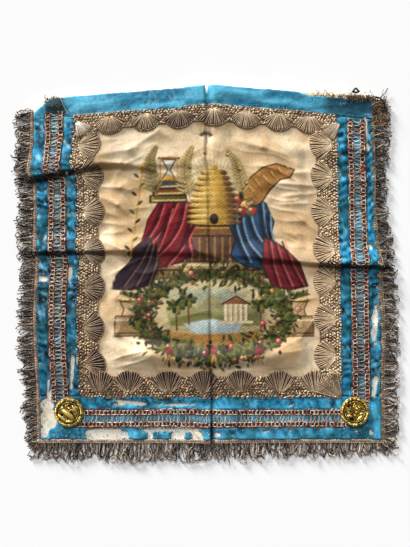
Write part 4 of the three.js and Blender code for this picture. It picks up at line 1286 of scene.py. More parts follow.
def make_braid(track, seed):
    rng = np.random.default_rng(seed)
    threads = Threads()
    count = int((track.last - track.first) / BRAID_PERIOD)
    starts = track.first + BRAID_PERIOD * (np.arange(count) + 0.5)
    fine = np.arange(track.first, track.last, BRAID_PERIOD / 8)
    phase = 2 * np.pi * (fine - track.first) / BRAID_PERIOD
    steps = np.linspace(-1, 1, 5)
    along = np.pi / 2 if track.upright else 0.0
    # The side braids' cream threads are darker towards the foot
    darker_towards_foot = mix(0.6, 1.0, ease((starts + 150) / 180))[:, None, None] if track.upright else 1.0
    for rail in (-RAIL_MIDDLE, RAIL_MIDDLE):
        sway = 0.4 * np.sin(fine / 31 + rail) + 0.5 * (noise(fine, 0 * fine, 9, 111) - 0.5)
        swayed = rail + np.interp(starts, fine, sway)
        # Dark core, pale bars and red knots
        place = track_place(track, fine, rail + sway, BRAID_BASE - 0.1)
        threads.tubes(place, 0.75 * RAIL_HALF, 6, BRAID_DARK, 0.12)
        for offset, radius in ((-1.1, 0.42), (-0.2, 0.32)):
            u = starts[:, None] + offset + rng.normal(0, 0.2, (count, 1))
            u = u + rng.normal(0, 0.35, (count, 1)) * steps
            v = swayed[:, None] + RAIL_HALF * rng.uniform(0.8, 1.1, (count, 1)) * steps
            w = BRAID_BASE + 0.5 + 0.4 * (1 - steps ** 2)
            tone = darker_towards_foot * pick(rng, BRAID_CREAM, count, 0.3)[:, None]
            threads.tubes(track_place(track, u, v, w), radius, 5, tone, 0.8)
        for offset in (-0.9, 0.9):
            u = starts + 1.3 + rng.normal(0, 0.2, count)
            place = track_place(track, u, swayed + offset, BRAID_BASE + 0.7)
            threads.knots(place, along + rng.normal(0, 0.4, count), rng.uniform(1.2, 2.2, count), 1.3, 1.3,
                          pick(rng, BRAID_COPPER, count, 0.3))
        # Selvedges
        for side in (-1, 1):
            v = rail + side * (RAIL_HALF + 0.15 * np.cos(phase + 1.2)) + sway
            tone = np.repeat(pick(rng, BRAID_CREAM + BRAID_COPPER[:2], len(fine) // 3 + 1, 0.3), 3, axis=0)
            threads.tubes(track_place(track, fine, v, BRAID_BASE + 0.8), 0.52, 4, tone[:len(fine)])
    # Threads crossing between the rails
    inner = RAIL_MIDDLE - RAIL_HALF + 0.3
    steps = np.linspace(-1, 1, 7)
    lean = rng.normal(0, 0.9, (count, 1))
    for side in (-1, 1):
        apart = side * (0.25 + 1.35 * np.abs(steps) ** 1.2)
        u = starts[:, None] + rng.normal(0, 0.25, (count, 1)) + lean * steps + apart
        path = track_place(track, u, inner * steps, BRAID_BASE)
        threads.tubes(path, 0.36, 4, darker_towards_foot * pick(rng, BRAID_CREAM, count, 0.3)[:, None])
    # Loops outside the rails
    around = np.linspace(0, np.pi, 7)
    wide = 2.0 if track.upright else 3.2
    for side in (-1, 1):
        u = starts[:, None] + wide * np.cos(around) + rng.normal(0, 0.3, (count, 1))
        rise = (wide - 1.3 + rng.uniform(-0.4, 0.5, (count, 1))) * np.sin(around)
        v = side * (RAIL_MIDDLE + RAIL_HALF + 0.5 + rise)
        threads.tubes(track_place(track, u, v, BRAID_BASE - 0.1 + 0 * u), 0.34, 4,
                      pick(rng, BRAID_CREAM[2:] + BRAID_COPPER, count, 0.35)[:, None])
    dress(threads.build(track.node + "_threads"), BRAID_THREAD, track.node)


for k, track in enumerate(BRAIDS):
    make_braid(track, 101 + k)


# Shell lace
Lace = namedtuple("Lace", "node upright outer sign reach first last base glow fan gloom shells")
LACES = [
    Lace("lace_left", True, -LACE_OUTER, -1, 32.9, -131, 161, 3.4, 1.3, 25, (1.0, 0.2),
         (143, 108, 64, 18, -25, -72, -116)),
    Lace("lace_right", True, LACE_OUTER, 1, 32.9, -131, 161, 3.4, 1.38, 27, (0.2, 0.05),
         (143, 106, 64, 20, -18, -61, -105)),
    Lace("lace_top", False, 179.8, 1, 25.4, -155.5, 155.5, 3.7, 1.22, 21, (0.0, 0.2, 1.0, 0.1, 0.2, 0.0),
         (-112, -70, -30, 10, 48, 86, 122)),
    Lace("lace_bottom", False, -155.5, -1, 32.2, -155.5, 155.5, 3.7, 1.14, 27, (1.0, 1.0, 0.4),
         (-131, -96, -50, -7, 36, 81, 123)),
]
SHELL_RADIUS = 19.0
SHELL_SPREAD = np.radians(72)
VALLEY_DEPTH = 7.0
FAN_FOOT = 1.6
CORNER_S = 128
LACE_PITCH = 2.2
LOOP_PITCH = 2.8
KNOT_PITCH = 3.6
KNOT_ROW_PITCH = 3.0
SHELL_RIBS_PALE = 21
SHELL_RIBS_DARK = 16
LACE_BRIGHT = [rgb(226, 206, 172), rgb(206, 180, 144), rgb(182, 154, 118), rgb(236, 220, 192),
               rgb(146, 118, 88)]
LACE_DULL = [rgb(172, 142, 106), rgb(140, 110, 80), rgb(196, 166, 130), rgb(104, 78, 60), rgb(214, 188, 150)]
SCALLOP_TONES = [rgb(150, 120, 96), rgb(112, 84, 70), rgb(190, 162, 128)]
LACE_LIMIT = rgb(232, 212, 182)
LACE_SHADE = rgb(182, 156, 122)
LACE_DARK_TIP = rgb(156, 128, 104)
FAN_PALE = rgb(74, 58, 42)
FAN_DARK = rgb(40, 28, 24)


def lace_place(lace, u, depth, w):
    """Point on the cloth at u along a lace and depth in from its outer edge."""
    return on_cloth(*turned(lace.upright, u, lace.outer - lace.sign * depth), w)


def lace_from(lace, s, t):
    """How far along a lace and how deep in it a flat-cloth position is."""
    u, cross = (t, s) if lace.upright else (s, t)
    return u, (lace.outer - cross) * lace.sign


def lace_edge(lace, u):
    """Depth of the scalloped edge. A cross lace keeps its full depth where a side lace meets it."""
    gap = np.min(np.abs(u[..., None] - np.array(lace.shells)), axis=-1)
    arc = np.sqrt(np.maximum(SHELL_RADIUS ** 2 - gap ** 2, 0)) - SHELL_RADIUS
    edge = lace.reach + np.maximum(arc, -VALLEY_DEPTH) + 0.7 * (noise(u, 0 * u, 6, 119) - 0.5)
    return edge if lace.upright else np.where(np.abs(u) > CORNER_S, lace.reach, edge)


def gloom_at(lace, u):
    """How much darker and greyer a lace is along its length, from 0 to 1."""
    return np.interp(u, np.linspace(lace.first, lace.last, len(lace.gloom)), lace.gloom)


# A dark sheet under the lace threads: the lace ground, painted as the shade and tarnish in its openings,
# darker still between the ribs of the shells
def make_lace_ground_and_shade(lace):
    def outline(s, t):
        u, depth = lace_from(lace, s, t)
        edges = least(depth, lace_edge(lace, u) - depth, u - lace.first, lace.last - u)
        return edges + 0.5 * (noise(s, t, 3, 120) - 0.5)

    def paint(s, t, x, y):
        u, depth = lace_from(lace, s, t)
        gloom = gloom_at(lace, u)
        mottle = layered_noise(x, y, 5, 121)
        colour = lace.glow * wash(rgb(74, 54, 40), rgb(136, 108, 80), ease((mottle - 0.35) / 0.3))
        colour = wash(1.3 * colour, 0.85 * colour, gloom)
        fan = wash(FAN_PALE, FAN_DARK, gloom)
        colour = wash(colour, fan, in_fan(lace, u, depth) * mix(0.55, 1, gloom))
        # Painted shade down the folds and along the crease
        return with_painted_shade(x, y, colour, 0.6)

    along = grid_lines(lace.first - 1, lace.last + 1, LACE_PITCH)
    ends = (lace.outer + lace.sign, lace.outer - lace.sign * (lace.reach + 1))
    cross = grid_lines(min(ends), max(ends), LACE_PITCH)
    layer = Layer(lace.base - 0.5, lace.base - 0.1)
    piece = cloth_sheet(lace.node + "_ground", *turned(lace.upright, along, cross), layer, outline, paint)
    return dress(piece, LACE_GROUND_AND_SHADE, lace.node)


def lace_tone(rng, lace, place, count):
    """Thread colours, greyer and darker towards the lower left, in patches, and where a lace is darker along
    its length.
    """
    low = ease((60 - place[:, 1]) / 160) * ease((130 - place[:, 0]) / 40)
    dull = ease((layered_noise(place[:, 0], place[:, 1], 24, 131) - 0.5) / 0.2)
    share = np.maximum(0.9 * low, 0.5 * dull)[:, None]
    tone = mix(pick(rng, LACE_BRIGHT, count, 0.14), pick(rng, LACE_DULL, count, 0.25), share)
    patch = ease((noise(place[:, 0], place[:, 1], 12, 133) - 0.25) / 0.5)[:, None]
    gloom = gloom_at(lace, place[:, int(lace.upright)])[:, None]
    return np.minimum(lace.glow * mix(1.16, 0.8, gloom) * mix(0.66, 1.3, patch) * tone, LACE_LIMIT)


def in_fan(lace, u, depth):
    """Whether a place is among the ribs of a shell: between its two end ribs and under its arc."""
    shells = np.array(lace.shells, float)
    gap = u - shells[np.argmin(np.abs(u[:, None] - shells), axis=1)]
    up = depth - (lace.reach - lace.fan)
    side = SHELL_RADIUS * np.sin(SHELL_SPREAD)
    rise = lace.fan - SHELL_RADIUS * (1 - np.cos(SHELL_SPREAD))
    between = np.abs(gap) < FAN_FOOT + (side - FAN_FOOT) * up / rise
    arc = np.hypot(gap, np.maximum(up - lace.fan + SHELL_RADIUS, 0)) < SHELL_RADIUS
    return (up > 0.12 * lace.fan) & between & arc


def add_lace_knots(threads, lace, rng):
    """Herringbone of knots outside the shells."""
    for k, row in enumerate(np.arange(2.0, lace.reach - 1.4, KNOT_ROW_PITCH)):
        u = np.arange(lace.first + 1 + KNOT_PITCH / 2 * (k % 2), lace.last - 0.6, KNOT_PITCH)
        depth = row + 0.4 * rng.normal(0, 1, len(u))
        u = u + 0.5 * rng.normal(0, 1, len(u))
        keep = ~in_fan(lace, u, depth) & (depth < lace_edge(lace, u) - 0.8)
        place = lace_place(lace, u[keep], depth[keep], lace.base + 0.3)
        count = len(place)
        slant = 0.7 if k % 2 else -0.7
        angle = (slant if lace.upright else np.pi / 2 + slant) + rng.normal(0, 0.45, count)
        threads.knots(place, angle, rng.uniform(2.8, 5.2, count), rng.uniform(1.5, 2.5, count),
                      rng.uniform(1.4, 3.4, count), lace_tone(rng, lace, place, count))


def add_shell(threads, lace, rng, shell):
    """Ribs of one shell, pale at the heart and brown at the tips."""
    steps = np.linspace(0, 1, 7)
    gloom = gloom_at(lace, shell)
    ribs = int(mix(SHELL_RIBS_PALE, SHELL_RIBS_DARK, gloom))
    swept = np.linspace(-SHELL_SPREAD, SHELL_SPREAD, ribs)[:, None] + rng.normal(0, 0.025, (ribs, 1))
    u = shell + mix(FAN_FOOT * swept, SHELL_RADIUS * np.sin(swept), steps ** 0.85)
    depth = lace.reach + 0.2 - mix(lace.fan + 0 * swept, SHELL_RADIUS * (1 - np.cos(swept)), steps)
    inside = (u.min(axis=1) > lace.first) & (u.max(axis=1) < lace.last)
    if not inside.any():
        return
    w = lace.base + 0.2 + 0.9 * np.sin(np.pi * steps ** 0.8)
    path = lace_place(lace, u, depth, w)[inside]
    heart = lace_tone(rng, lace, path[:, 0], len(path))[:, None]
    tip = mix(lace.glow * LACE_SHADE, LACE_DARK_TIP, gloom) * rng.uniform(0.8, 1.15, (len(path), 1, 1))
    tone = mix(heart, tip, ease(steps / 0.9)[None, :, None])
    tone = tone * rng.uniform(0.75, 1.3, (len(path), len(steps), 1))
    threads.tubes(path, mix(0.35, mix(0.75, 0.55, gloom), steps), 5, tone, 0.9)


def add_lace_edges(threads, lace, rng):
    """Cord along the scallops, and loops along the outer edge."""
    u = np.arange(lace.first + 0.5, lace.last - 0.5, 0.95)
    depth = lace_edge(lace, u) - 0.4 + 0.4 * np.sin(u * 2 * np.pi / 2.9)
    tone = pick(rng, SCALLOP_TONES, len(u), 0.25)
    threads.tubes(lace_place(lace, u, depth, lace.base), 0.62, 5, tone)
    starts = np.arange(lace.first + 3, lace.last - 3, LOOP_PITCH)
    around = np.linspace(0, np.pi, 6)
    u = starts[:, None] + 1.25 * np.cos(around)
    path = lace_place(lace, u, 0.8 - 1.5 * np.sin(around) + 0 * u, lace.base)
    tones = LACE_DULL if lace.node == "lace_bottom" else LACE_BRIGHT
    threads.tubes(path, 0.45, 4, pick(rng, tones, len(starts), 0.3)[:, None])


def make_lace(lace, seed):
    rng = np.random.default_rng(seed)
    threads = Threads()
    add_lace_knots(threads, lace, rng)
    for shell in lace.shells:
        add_shell(threads, lace, rng, shell)
    add_lace_edges(threads, lace, rng)
    for fan in CORNER_FANS:
        if fan.node == lace.node:
            add_corner_fan(threads, fan, rng)
    return dress(threads.build(lace.node + "_threads"), LACE_THREAD, lace.node)


CornerFan = namedtuple("CornerFan", "node x y first last reach heart tip")
CORNER_FANS = [
    CornerFan("lace_left", 76, 121, 22, 84, 18.5, rgb(250, 242, 228), rgb(206, 180, 150)),
    CornerFan("lace_right", 342, 399, 196, 258, 29, rgb(206, 180, 146), rgb(156, 128, 100)),
    CornerFan("lace_right", 340, 123, 112, 168, 20, rgb(226, 206, 178), rgb(176, 150, 120)),
]


def add_corner_fan(threads, fan, rng):
    """A fan turned into a corner of the lace. Its angles run from the right, clockwise in the picture."""
    ribs = 14
    steps = np.linspace(0, 1, 6)
    turn = np.radians(np.linspace(fan.first, fan.last, ribs))[:, None]
    reach = mix(2, fan.reach * rng.uniform(0.93, 1.07, (ribs, 1)), steps)
    s, t = flat_at(fan.x + reach * np.cos(turn), fan.y + reach * np.sin(turn))
    path = on_cloth(s, t, 4.4 + 1.2 * np.sin(np.pi * steps) + 0 * s)
    tone = mix(fan.heart, fan.tip, steps[None, :, None]) * rng.uniform(0.5, 1.15, (ribs, 1, 1))
    threads.tubes(path, mix(0.4, 0.85, steps), 5, tone, 0.7)


for k, lace in enumerate(LACES):
    make_lace_ground_and_shade(lace)
    make_lace(lace, 140 + k)


# Bullion fringe: a woven heading and two layers of twisted strands drawn into clumps.
# Tips are photo positions along each edge and of the strands' ends across it.
TIPS_LEFT = ((108, 17), (116, 12), (140, 16), (164, 10), (180, 13), (204, 17), (220, 14), (260, 18),
             (300, 17), (340, 15), (372, 18), (388, 23), (404, 20), (428, 25), (444, 29), (460, 36))
TIPS_RIGHT = ((96, 386), (104, 391), (124, 392), (164, 389), (180, 387), (204, 388), (228, 391), (244, 394),
              (268, 397), (300, 399), (340, 400), (404, 399), (428, 398), (444, 396), (460, 388))
TIPS_BOTTOM = ((28, 446), (40, 457), (50, 461), (120, 463), (180, 463), (210, 461), (240, 462),
               (290, 458), (350, 457), (380, 454), (392, 447))
Fringe = namedtuple("Fringe", "node upright side first last tips tangle heading half pitch glow")
FRINGES = [
    Fringe("fringe_left", True, -1, -204, 190, TIPS_LEFT, 0.1, 204.6, 1.5, 1.9, 0.8),
    Fringe("fringe_right", True, 1, -204, 202, TIPS_RIGHT, 0.36, 203.4, 3.0, 2.4, 1.0),
    Fringe("fringe_bottom", False, -1, -205, 205, TIPS_BOTTOM, 0.34, 207.4, 1.6, 2.6, 1.15),
]
FRINGE_TONES = [rgb(158, 140, 124), rgb(116, 98, 86), rgb(206, 190, 170), rgb(84, 68, 58), rgb(58, 46, 40),
                rgb(142, 120, 100)]
HEADING_TONES = {
    "fringe_left": [rgb(172, 142, 122), rgb(150, 116, 98), rgb(186, 164, 136)],
    "fringe_right": [rgb(160, 142, 112), rgb(136, 116, 90), rgb(178, 160, 128)],
    "fringe_bottom": [rgb(208, 190, 168), rgb(182, 158, 136), rgb(162, 136, 114)],
}
STRAND_POINTS = 16
STRAND_TWIST = 1.1
CORNER_STRANDS = 44
ROOT_INSET = 1.2
ROOT_HEIGHT = 2.4
END_REACH = 16
HEADING_PITCH = 2.1
LOWEST_THREAD = 0.9


def clump_pull(rng, first, last, at):
    """Way from each strand to the middle of its clump."""
    centres = first + np.cumsum(rng.uniform(9, 24, 60))
    centres = centres[centres < last + 10]
    return centres[np.argmin(np.abs(at[:, None] - centres), axis=1)] - at


def strand_roots(fringe, rng, pitch):
    """Where strands leave the edge, as positions along it and as points."""
    count = int((fringe.last - fringe.first) / pitch)
    root = np.linspace(fringe.first, fringe.last, count) + rng.normal(0, 0.5, count)
    edge = fringe.side * (HALF_WIDTH - ROOT_INSET) if fringe.upright else BOTTOM_EDGE + ROOT_INSET
    return root, on_cloth(*turned(fringe.upright, root, edge), ROOT_HEIGHT)


def tip_distance(fringe, start):
    """Distance in millimetres from strand roots to the line of the fringe's tips."""
    px, py = photo_from(start[:, 0], start[:, 1])
    along, across_it = (py, px) if fringe.upright else (px, py)
    tips = np.array(fringe.tips, float)
    return np.abs(np.interp(along, tips[:, 0], tips[:, 1]) - across_it) * PHOTO_MM


def make_strands(threads, fringe, rng, pitch, layer):
    """One layer of strands. Each leaves square to the edge, leans into its clump and curls at its tip."""
    root, start = strand_roots(fringe, rng, pitch)
    count = len(root)
    out = np.array([float(fringe.side), 0.0] if fringe.upright else [0.0, -1.0])
    along = np.array([0.0, 1.0] if fringe.upright else [1.0, 0.0])
    low_end = np.clip(1 - (root - fringe.first) / END_REACH, 0, 1)
    high_end = np.clip(1 - (fringe.last - root) / END_REACH, 0, 1) * (0.0 if fringe.upright else 1.0)
    reach = tip_distance(fringe, start) * rng.uniform(0.66, 1.03, count) * (1.0 if layer else 0.9)
    reach = reach * (1 + 0.3 * (low_end + high_end))
    pull = clump_pull(rng, fringe.first, fringe.last, root) * rng.uniform(0.3, 1.0, count)
    lean = np.arctan2(pull, reach) + 0.85 * (high_end - low_end) + rng.normal(0, fringe.tangle, count)
    lean = lean - (0.12 if fringe.upright else 0.0)
    steps = np.linspace(0, 1, STRAND_POINTS)
    hook = rng.normal(0, 1.5, count) * (rng.random(count) < 0.3 + fringe.tangle)
    wave = rng.normal(0, 0.3, count)[:, None] * np.sin(rng.uniform(0, 6, (count, 1)) + 7 * steps)
    turn = lean[:, None] * ease(steps * 1.8) + wave + hook[:, None] * ease((steps - 0.6) / 0.4)
    ahead = np.cumsum(np.cos(turn), axis=1) - np.cos(turn[:, :1])
    aside = np.cumsum(np.sin(turn), axis=1) - np.sin(turn[:, :1])
    size = (reach / np.maximum(ahead.max(axis=1), 0.55 * STRAND_POINTS))[:, None]
    plan = start[:, None, :2] + (ahead * size)[..., None] * out + (aside * size)[..., None] * along
    settled = 0.95 + 1.5 * layer + rng.uniform(0, 1.2, (count, 1))
    settled = settled + 0.6 * np.sin(rng.uniform(0, 6, (count, 1)) + 6 * steps)
    height = mix(start[:, 2:] + 0.7 * layer, settled, ease(steps / 0.5))
    path = np.concatenate([plan, np.maximum(height, LOWEST_THREAD)[..., None]], axis=-1)
    # Painted shade: the lower layer of strands is darker, lying under the upper one, and each strand darkens
    # towards its root under the heading
    tone = pick(rng, FRINGE_TONES, count, 0.2)[:, None]
    tone = fringe.glow * tone * mix(0.85, 1.1, steps)[None, :, None] * (1.0 if layer else 0.66)
    threads.tubes(path, rng.uniform(0.72, 1.0, (count, 1)), 5, tone, 0.6, STRAND_TWIST)


def make_corner(threads, fringe, rng, side):
    """Strands fanned round a bottom corner."""
    count = CORNER_STRANDS
    steps = np.linspace(0, 1, STRAND_POINTS)
    start = on_cloth(side * rng.uniform(202, 206.5, count), rng.uniform(-208, -202, count), ROOT_HEIGHT)
    turn = np.radians(rng.uniform(5, 85, (count, 1)))
    turn = turn + rng.normal(0, 0.5, (count, 1)) * ease((steps - 0.3) / 0.7)
    length = rng.uniform(10, 17.5, (count, 1)) / STRAND_POINTS
    x = start[:, :1] + side * np.cumsum(length * np.cos(turn), axis=1)
    y = start[:, 1:2] - np.cumsum(length * np.sin(turn), axis=1)
    z = mix(start[:, 2:], rng.uniform(1.0, 3.0, (count, 1)), ease(steps / 0.5))
    tone = fringe.glow * pick(rng, FRINGE_TONES, count, 0.25)[:, None]
    threads.tubes(points_at(x, y, z), 0.85, 5, tone, 0.6, STRAND_TWIST)


def make_heading(threads, fringe, rng):
    """Woven heading: slanting stitches between two edge cords."""
    tones = HEADING_TONES[fringe.node]
    count = int((fringe.last - fringe.first) / HEADING_PITCH)
    at = np.linspace(fringe.first, fringe.last, count)[:, None]
    steps = np.linspace(-1, 1, 5)
    slant = at + 1.0 * steps
    cross = fringe.side * (fringe.heading + fringe.half * steps + 0 * slant)
    path = on_cloth(*turned(fringe.upright, slant, cross), 2.7 + 0.6 * (1 - steps ** 2))
    threads.tubes(path, 0.85, 5, pick(rng, tones, count, 0.2)[:, None], 0.8)
    fine = np.arange(fringe.first, fringe.last, 1.2)
    for side in (-1, 1):
        cross = fringe.side * (fringe.heading + side * fringe.half + 0.25 * np.sin(1.7 * fine))
        path = on_cloth(*turned(fringe.upright, fine, cross), 3.0)
        threads.tubes(path, 0.6, 5, pick(rng, tones, len(fine), 0.3))


def make_fringe(fringe, seed):
    rng = np.random.default_rng(seed)
    threads = Threads()
    if not fringe.upright:
        make_corner(threads, fringe, rng, -1)
        make_corner(threads, fringe, rng, 1)
    for layer in (0, 1):
        make_strands(threads, fringe, rng, fringe.pitch, layer)
    make_heading(threads, fringe, rng)
    return dress(threads.build(fringe.node + "_strands"), FRINGE_THREAD, fringe.node)


for k, fringe in enumerate(FRINGES):
    make_fringe(fringe, 160 + k)


# Gilt rosettes
Bar = namedtuple("Bar", "x0 y0 x1 y1 radius")
# Dark patches laid over the openings: painted shade of what lies under the openwork
Hole = namedtuple("Hole", "x y width depth turn")
Rosette = namedtuple("Rosette", "node x y bars holes lobes")
ROSETTES = [
    Rosette("rosette_left", 69.4, 411.8,
            [Bar(63.5, 408.8, 74.0, 416.8, 2.7), Bar(59, 413.5, 68, 420.8, 1.4),
             Bar(73, 404.5, 78.5, 412, 1.1), Bar(66, 420.5, 74, 420, 1.1)],
            [Hole(68.8, 413, 15, 8, 38), Hole(72, 403.6, 7, 3, -20), Hole(61, 415.5, 4.4, 8, 40),
             Hole(67.6, 417, 4.5, 3, 20), Hole(77, 411.5, 3, 6, 10), Hole(74.5, 417, 4, 3, -30),
             Hole(61, 405.5, 3.4, 2.6, -30), Hole(64.5, 409, 2.6, 3.4, 0)],
            [(67, 405.5), (70, 407.5), (63, 407), (75.5, 408.5), (71, 417)]),
    Rosette("rosette_right", 354.2, 411.1,
            [Bar(356, 419, 361, 414.5, 1.4), Bar(346.5, 414, 351, 415.5, 1.0)],
            [Hole(346.8, 405.4, 4.2, 5.6, 30), Hole(352, 404, 3, 3.4, 0), Hole(359, 407.5, 3, 5.4, 10),
             Hole(350.5, 418.2, 6, 4, 10), Hole(345.5, 412.5, 2.8, 4, 0), Hole(357.5, 415.5, 3.4, 3.4, 0)],
            [(352.5, 409), (355.5, 411.5), (351, 412.5), (354, 414.5), (349.5, 409.5), (356, 408),
             (353, 406)]),
]
GOLD_BRIGHT = rgb(255, 234, 146)
GOLD_DEEP = rgb(198, 158, 68)
GOLD_TONES = [GOLD_BRIGHT, GOLD_DEEP, rgb(214, 178, 78), rgb(96, 78, 38)]
# Colours of the painted glints and reflections in the openwork
GLINT_TONES = [rgb(236, 224, 200), rgb(70, 120, 140), rgb(150, 90, 70), rgb(30, 40, 40)]
ROSETTE_BASE = 4.9
TWIST_RADIUS = 15.2
PLATE_RADIUS = 13.4
RIM_LOOPS = 30
GLINT_SPECKS = 18
SCROLLS = 16


def round_point(centre, reach, turn, lift):
    """Point at a distance and angle from a rosette's middle."""
    return points_at(centre[0] + reach * np.cos(turn), centre[1] + reach * np.sin(turn), centre[2] + lift)


def ring_path(centre, lift, radius, count, minor=0.0, turns=0, phase=0.0):
    """Closed circle, or a helix wound round it."""
    angle = np.linspace(0, 2 * np.pi, count)
    wind = turns * angle + phase
    return round_point(centre, radius + minor * np.cos(wind), angle, lift + minor * np.sin(wind))


def gold(rng, count):
    return pick(rng, GOLD_TONES, count, 0.2)


def add_rim(threads, centre, rng):
    """Twisted rim between two plain rings, with loops round it."""
    twist = np.repeat(gold(rng, 100), 3, axis=0)
    for phase in (0, np.pi):
        threads.tubes(ring_path(centre, 2.0, TWIST_RADIUS, 300, 0.9, 33, phase), 0.72, 6, twist)
    for ring, radius in ((12.2, 0.55), (17.0, 0.5)):
        threads.tubes(ring_path(centre, 1.6, ring, 90), radius, 6, gold(rng, 90))
    # Painted shade: a dark ring under the twist, for the openings between the rim and the middle
    threads.tubes(ring_path(centre, 1.0, 13.6, 90), 0.9, 6, rgb(52, 44, 22), 0.5)
    middle = 2 * np.pi * np.arange(RIM_LOOPS)[:, None] / RIM_LOOPS
    around = np.linspace(-np.pi / 2, np.pi / 2, 7)
    path = round_point(centre, 15.6 + 1.7 * np.cos(around), middle + 0.1 * np.sin(around), 1.2)
    threads.tubes(path, 0.5, 4, gold(rng, RIM_LOOPS)[:, None])


def add_glint_specks(threads, centre, rng):
    """Small knots in the openwork, painted as glints and reflections, some of them dark."""
    turn = rng.uniform(0, 2 * np.pi, GLINT_SPECKS)
    place = round_point(centre, rng.uniform(8.0, 11.6, GLINT_SPECKS), turn, 1.7)
    tones = pick(rng, GLINT_TONES, GLINT_SPECKS)
    threads.knots(place, turn, rng.uniform(1.4, 2.6, GLINT_SPECKS), rng.uniform(1.0, 1.7, GLINT_SPECKS), 0.9, tones)


def add_scrolls(threads, centre, rng):
    """Small open curls of wire, in turn near the rim and near the middle."""
    for k in range(SCROLLS):
        turn = 2 * np.pi * k / SCROLLS + rng.normal(0, 0.2)
        reach = rng.uniform(7.0, 10.0) if k % 2 else rng.uniform(3.0, 6.0)
        sweep = turn + np.linspace(0, rng.uniform(2.5, 4.5), 11)
        size = rng.uniform(1.8, 3.2)
        path = round_point(round_point(centre, reach, turn, 2.0), size, sweep, 0.6 * np.sin(sweep))
        threads.tubes(path, rng.uniform(0.4, 0.65), 5, gold(rng, 1))


def make_rosette(rosette, seed):
    rng = np.random.default_rng(seed)
    x, y, height, _ = drape(*flat_at(rosette.x, rosette.y))
    centre = (float(x), float(y), float(height) + ROSETTE_BASE)
    threads = Threads()
    add_rim(threads, centre, rng)
    # Dark patches over the openings, painted shade
    for hole in rosette.holes:
        place = points_at(*plan_from(hole.x, hole.y), centre[2] + 1.45)
        threads.knots([place], -np.radians(hole.turn), hole.width * PHOTO_MM, hole.depth * PHOTO_MM, 0.7,
                      rgb(20, 30, 26))
    add_glint_specks(threads, centre, rng)
    add_scrolls(threads, centre, rng)
    for px, py in rosette.lobes:
        place = points_at(*plan_from(px, py), centre[2] + 2.8)
        threads.knots([place], rng.uniform(0, 3), rng.uniform(3.0, 4.4), rng.uniform(2.4, 3.2),
                      rng.uniform(2.6, 4.0), gold(rng, 1))
    steps = np.linspace(0, 1, 11)
    bow = np.sqrt(1 - (0.97 * (2 * steps - 1)) ** 2)
    for bar in rosette.bars:
        x, y = plan_from(mix(bar.x0, bar.x1, steps), mix(bar.y0, bar.y1, steps))
        path = points_at(x, y, centre[2] + (3.0 + 1.3 * bow))
        threads.tubes(path, bar.radius * (0.35 + 0.65 * bow), 8, rgb(250, 224, 130))
    # The plate is one very flat tube
    spans = np.linspace(-0.98, 0.98, 15)
    plate = points_at(centre[0] + PLATE_RADIUS * spans, centre[1], centre[2] + 0.9)
    threads.tubes(plate, PLATE_RADIUS * np.sqrt(1 - spans ** 2), 24, rgb(176, 136, 56), flat=0.035)
    dress(threads.build(rosette.node + "_wire"), GILT, rosette.node)


for k, rosette in enumerate(ROSETTES):
    make_rosette(rosette, 180 + k)


# Wire eye at the waist edge
EYE_CORNERS = [(351.8, 92.8), (355, 88.6), (358.4, 92.6), (355.2, 93.4), (351.8, 92.8)]


def make_eye():
    low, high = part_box("hook_eye")
    plan = curve(EYE_CORNERS, 24)
    path = points_at(*plan_from(plan[:, 0], plan[:, 1]), (low[2] + high[2]) / 2 / MM)
    threads = Threads()
    threads.tubes(path, 1.15, 6, rgb(30, 46, 42))
    feet = [path[0] + (0.6, 0.2, -0.2), path[12] + (0.2, 0.2, -0.2)]
    threads.knots(feet, 0.4, 3.4, 2.2, 1.8, rgb(28, 40, 38))
    dress(threads.build("hook_eye_wire"), IRON, "hook_eye")


make_eye()


# Frayed threads, strewn over boxes of the photo
Frayed = namedtuple("Frayed", "x0 y0 x1 y1 count length radius tones w")
DARK_FRAY = [rgb(58, 42, 34), rgb(92, 70, 52), rgb(34, 40, 36), rgb(132, 112, 84)]
BROWN_FRAY = [rgb(120, 98, 72), rgb(90, 70, 50), rgb(150, 126, 96), rgb(64, 48, 36)]
BLUE_FRAY = [rgb(40, 120, 160), rgb(120, 190, 215), rgb(20, 80, 110), rgb(200, 210, 200)]
FRAYED = [
    Frayed(46.5, 98.5, 60, 108, 260, 3.4, 0.38, DARK_FRAY, 3.4),
    Frayed(52, 104, 66, 116, 60, 6.0, 0.3, [rgb(26, 70, 74), rgb(60, 52, 46)], 3.4),
    Frayed(38, 112, 48, 440, 150, 5.0, 0.2, BLUE_FRAY, 3.1),
    Frayed(64, 122, 76, 400, 130, 5.0, 0.2, BLUE_FRAY, 3.1),
    Frayed(366, 125, 382, 434, 150, 5.0, 0.2, BLUE_FRAY, 3.1),
    Frayed(44, 398, 372, 407, 120, 5.0, 0.2, BLUE_FRAY, 3.1),
    Frayed(44, 429, 376, 440, 190, 5.0, 0.2, BLUE_FRAY, 3.1),
    Frayed(70, 95, 368, 118, 160, 6.0, 0.2, BLUE_FRAY, 3.1),
    Frayed(346, 97, 373, 102, 260, 3.0, 0.4, DARK_FRAY, 3.2),
    Frayed(310, 96, 346, 99.5, 110, 3.0, 0.3, DARK_FRAY, 3.0),
    Frayed(373, 102, 384, 126, 130, 8.0, 0.6, BROWN_FRAY, 3.6),
    Frayed(300, 93, 374, 98, 90, 5.0, 0.28, [rgb(188, 168, 136), rgb(132, 108, 80)], 2.4),
]


FRAY_POINTS = 6


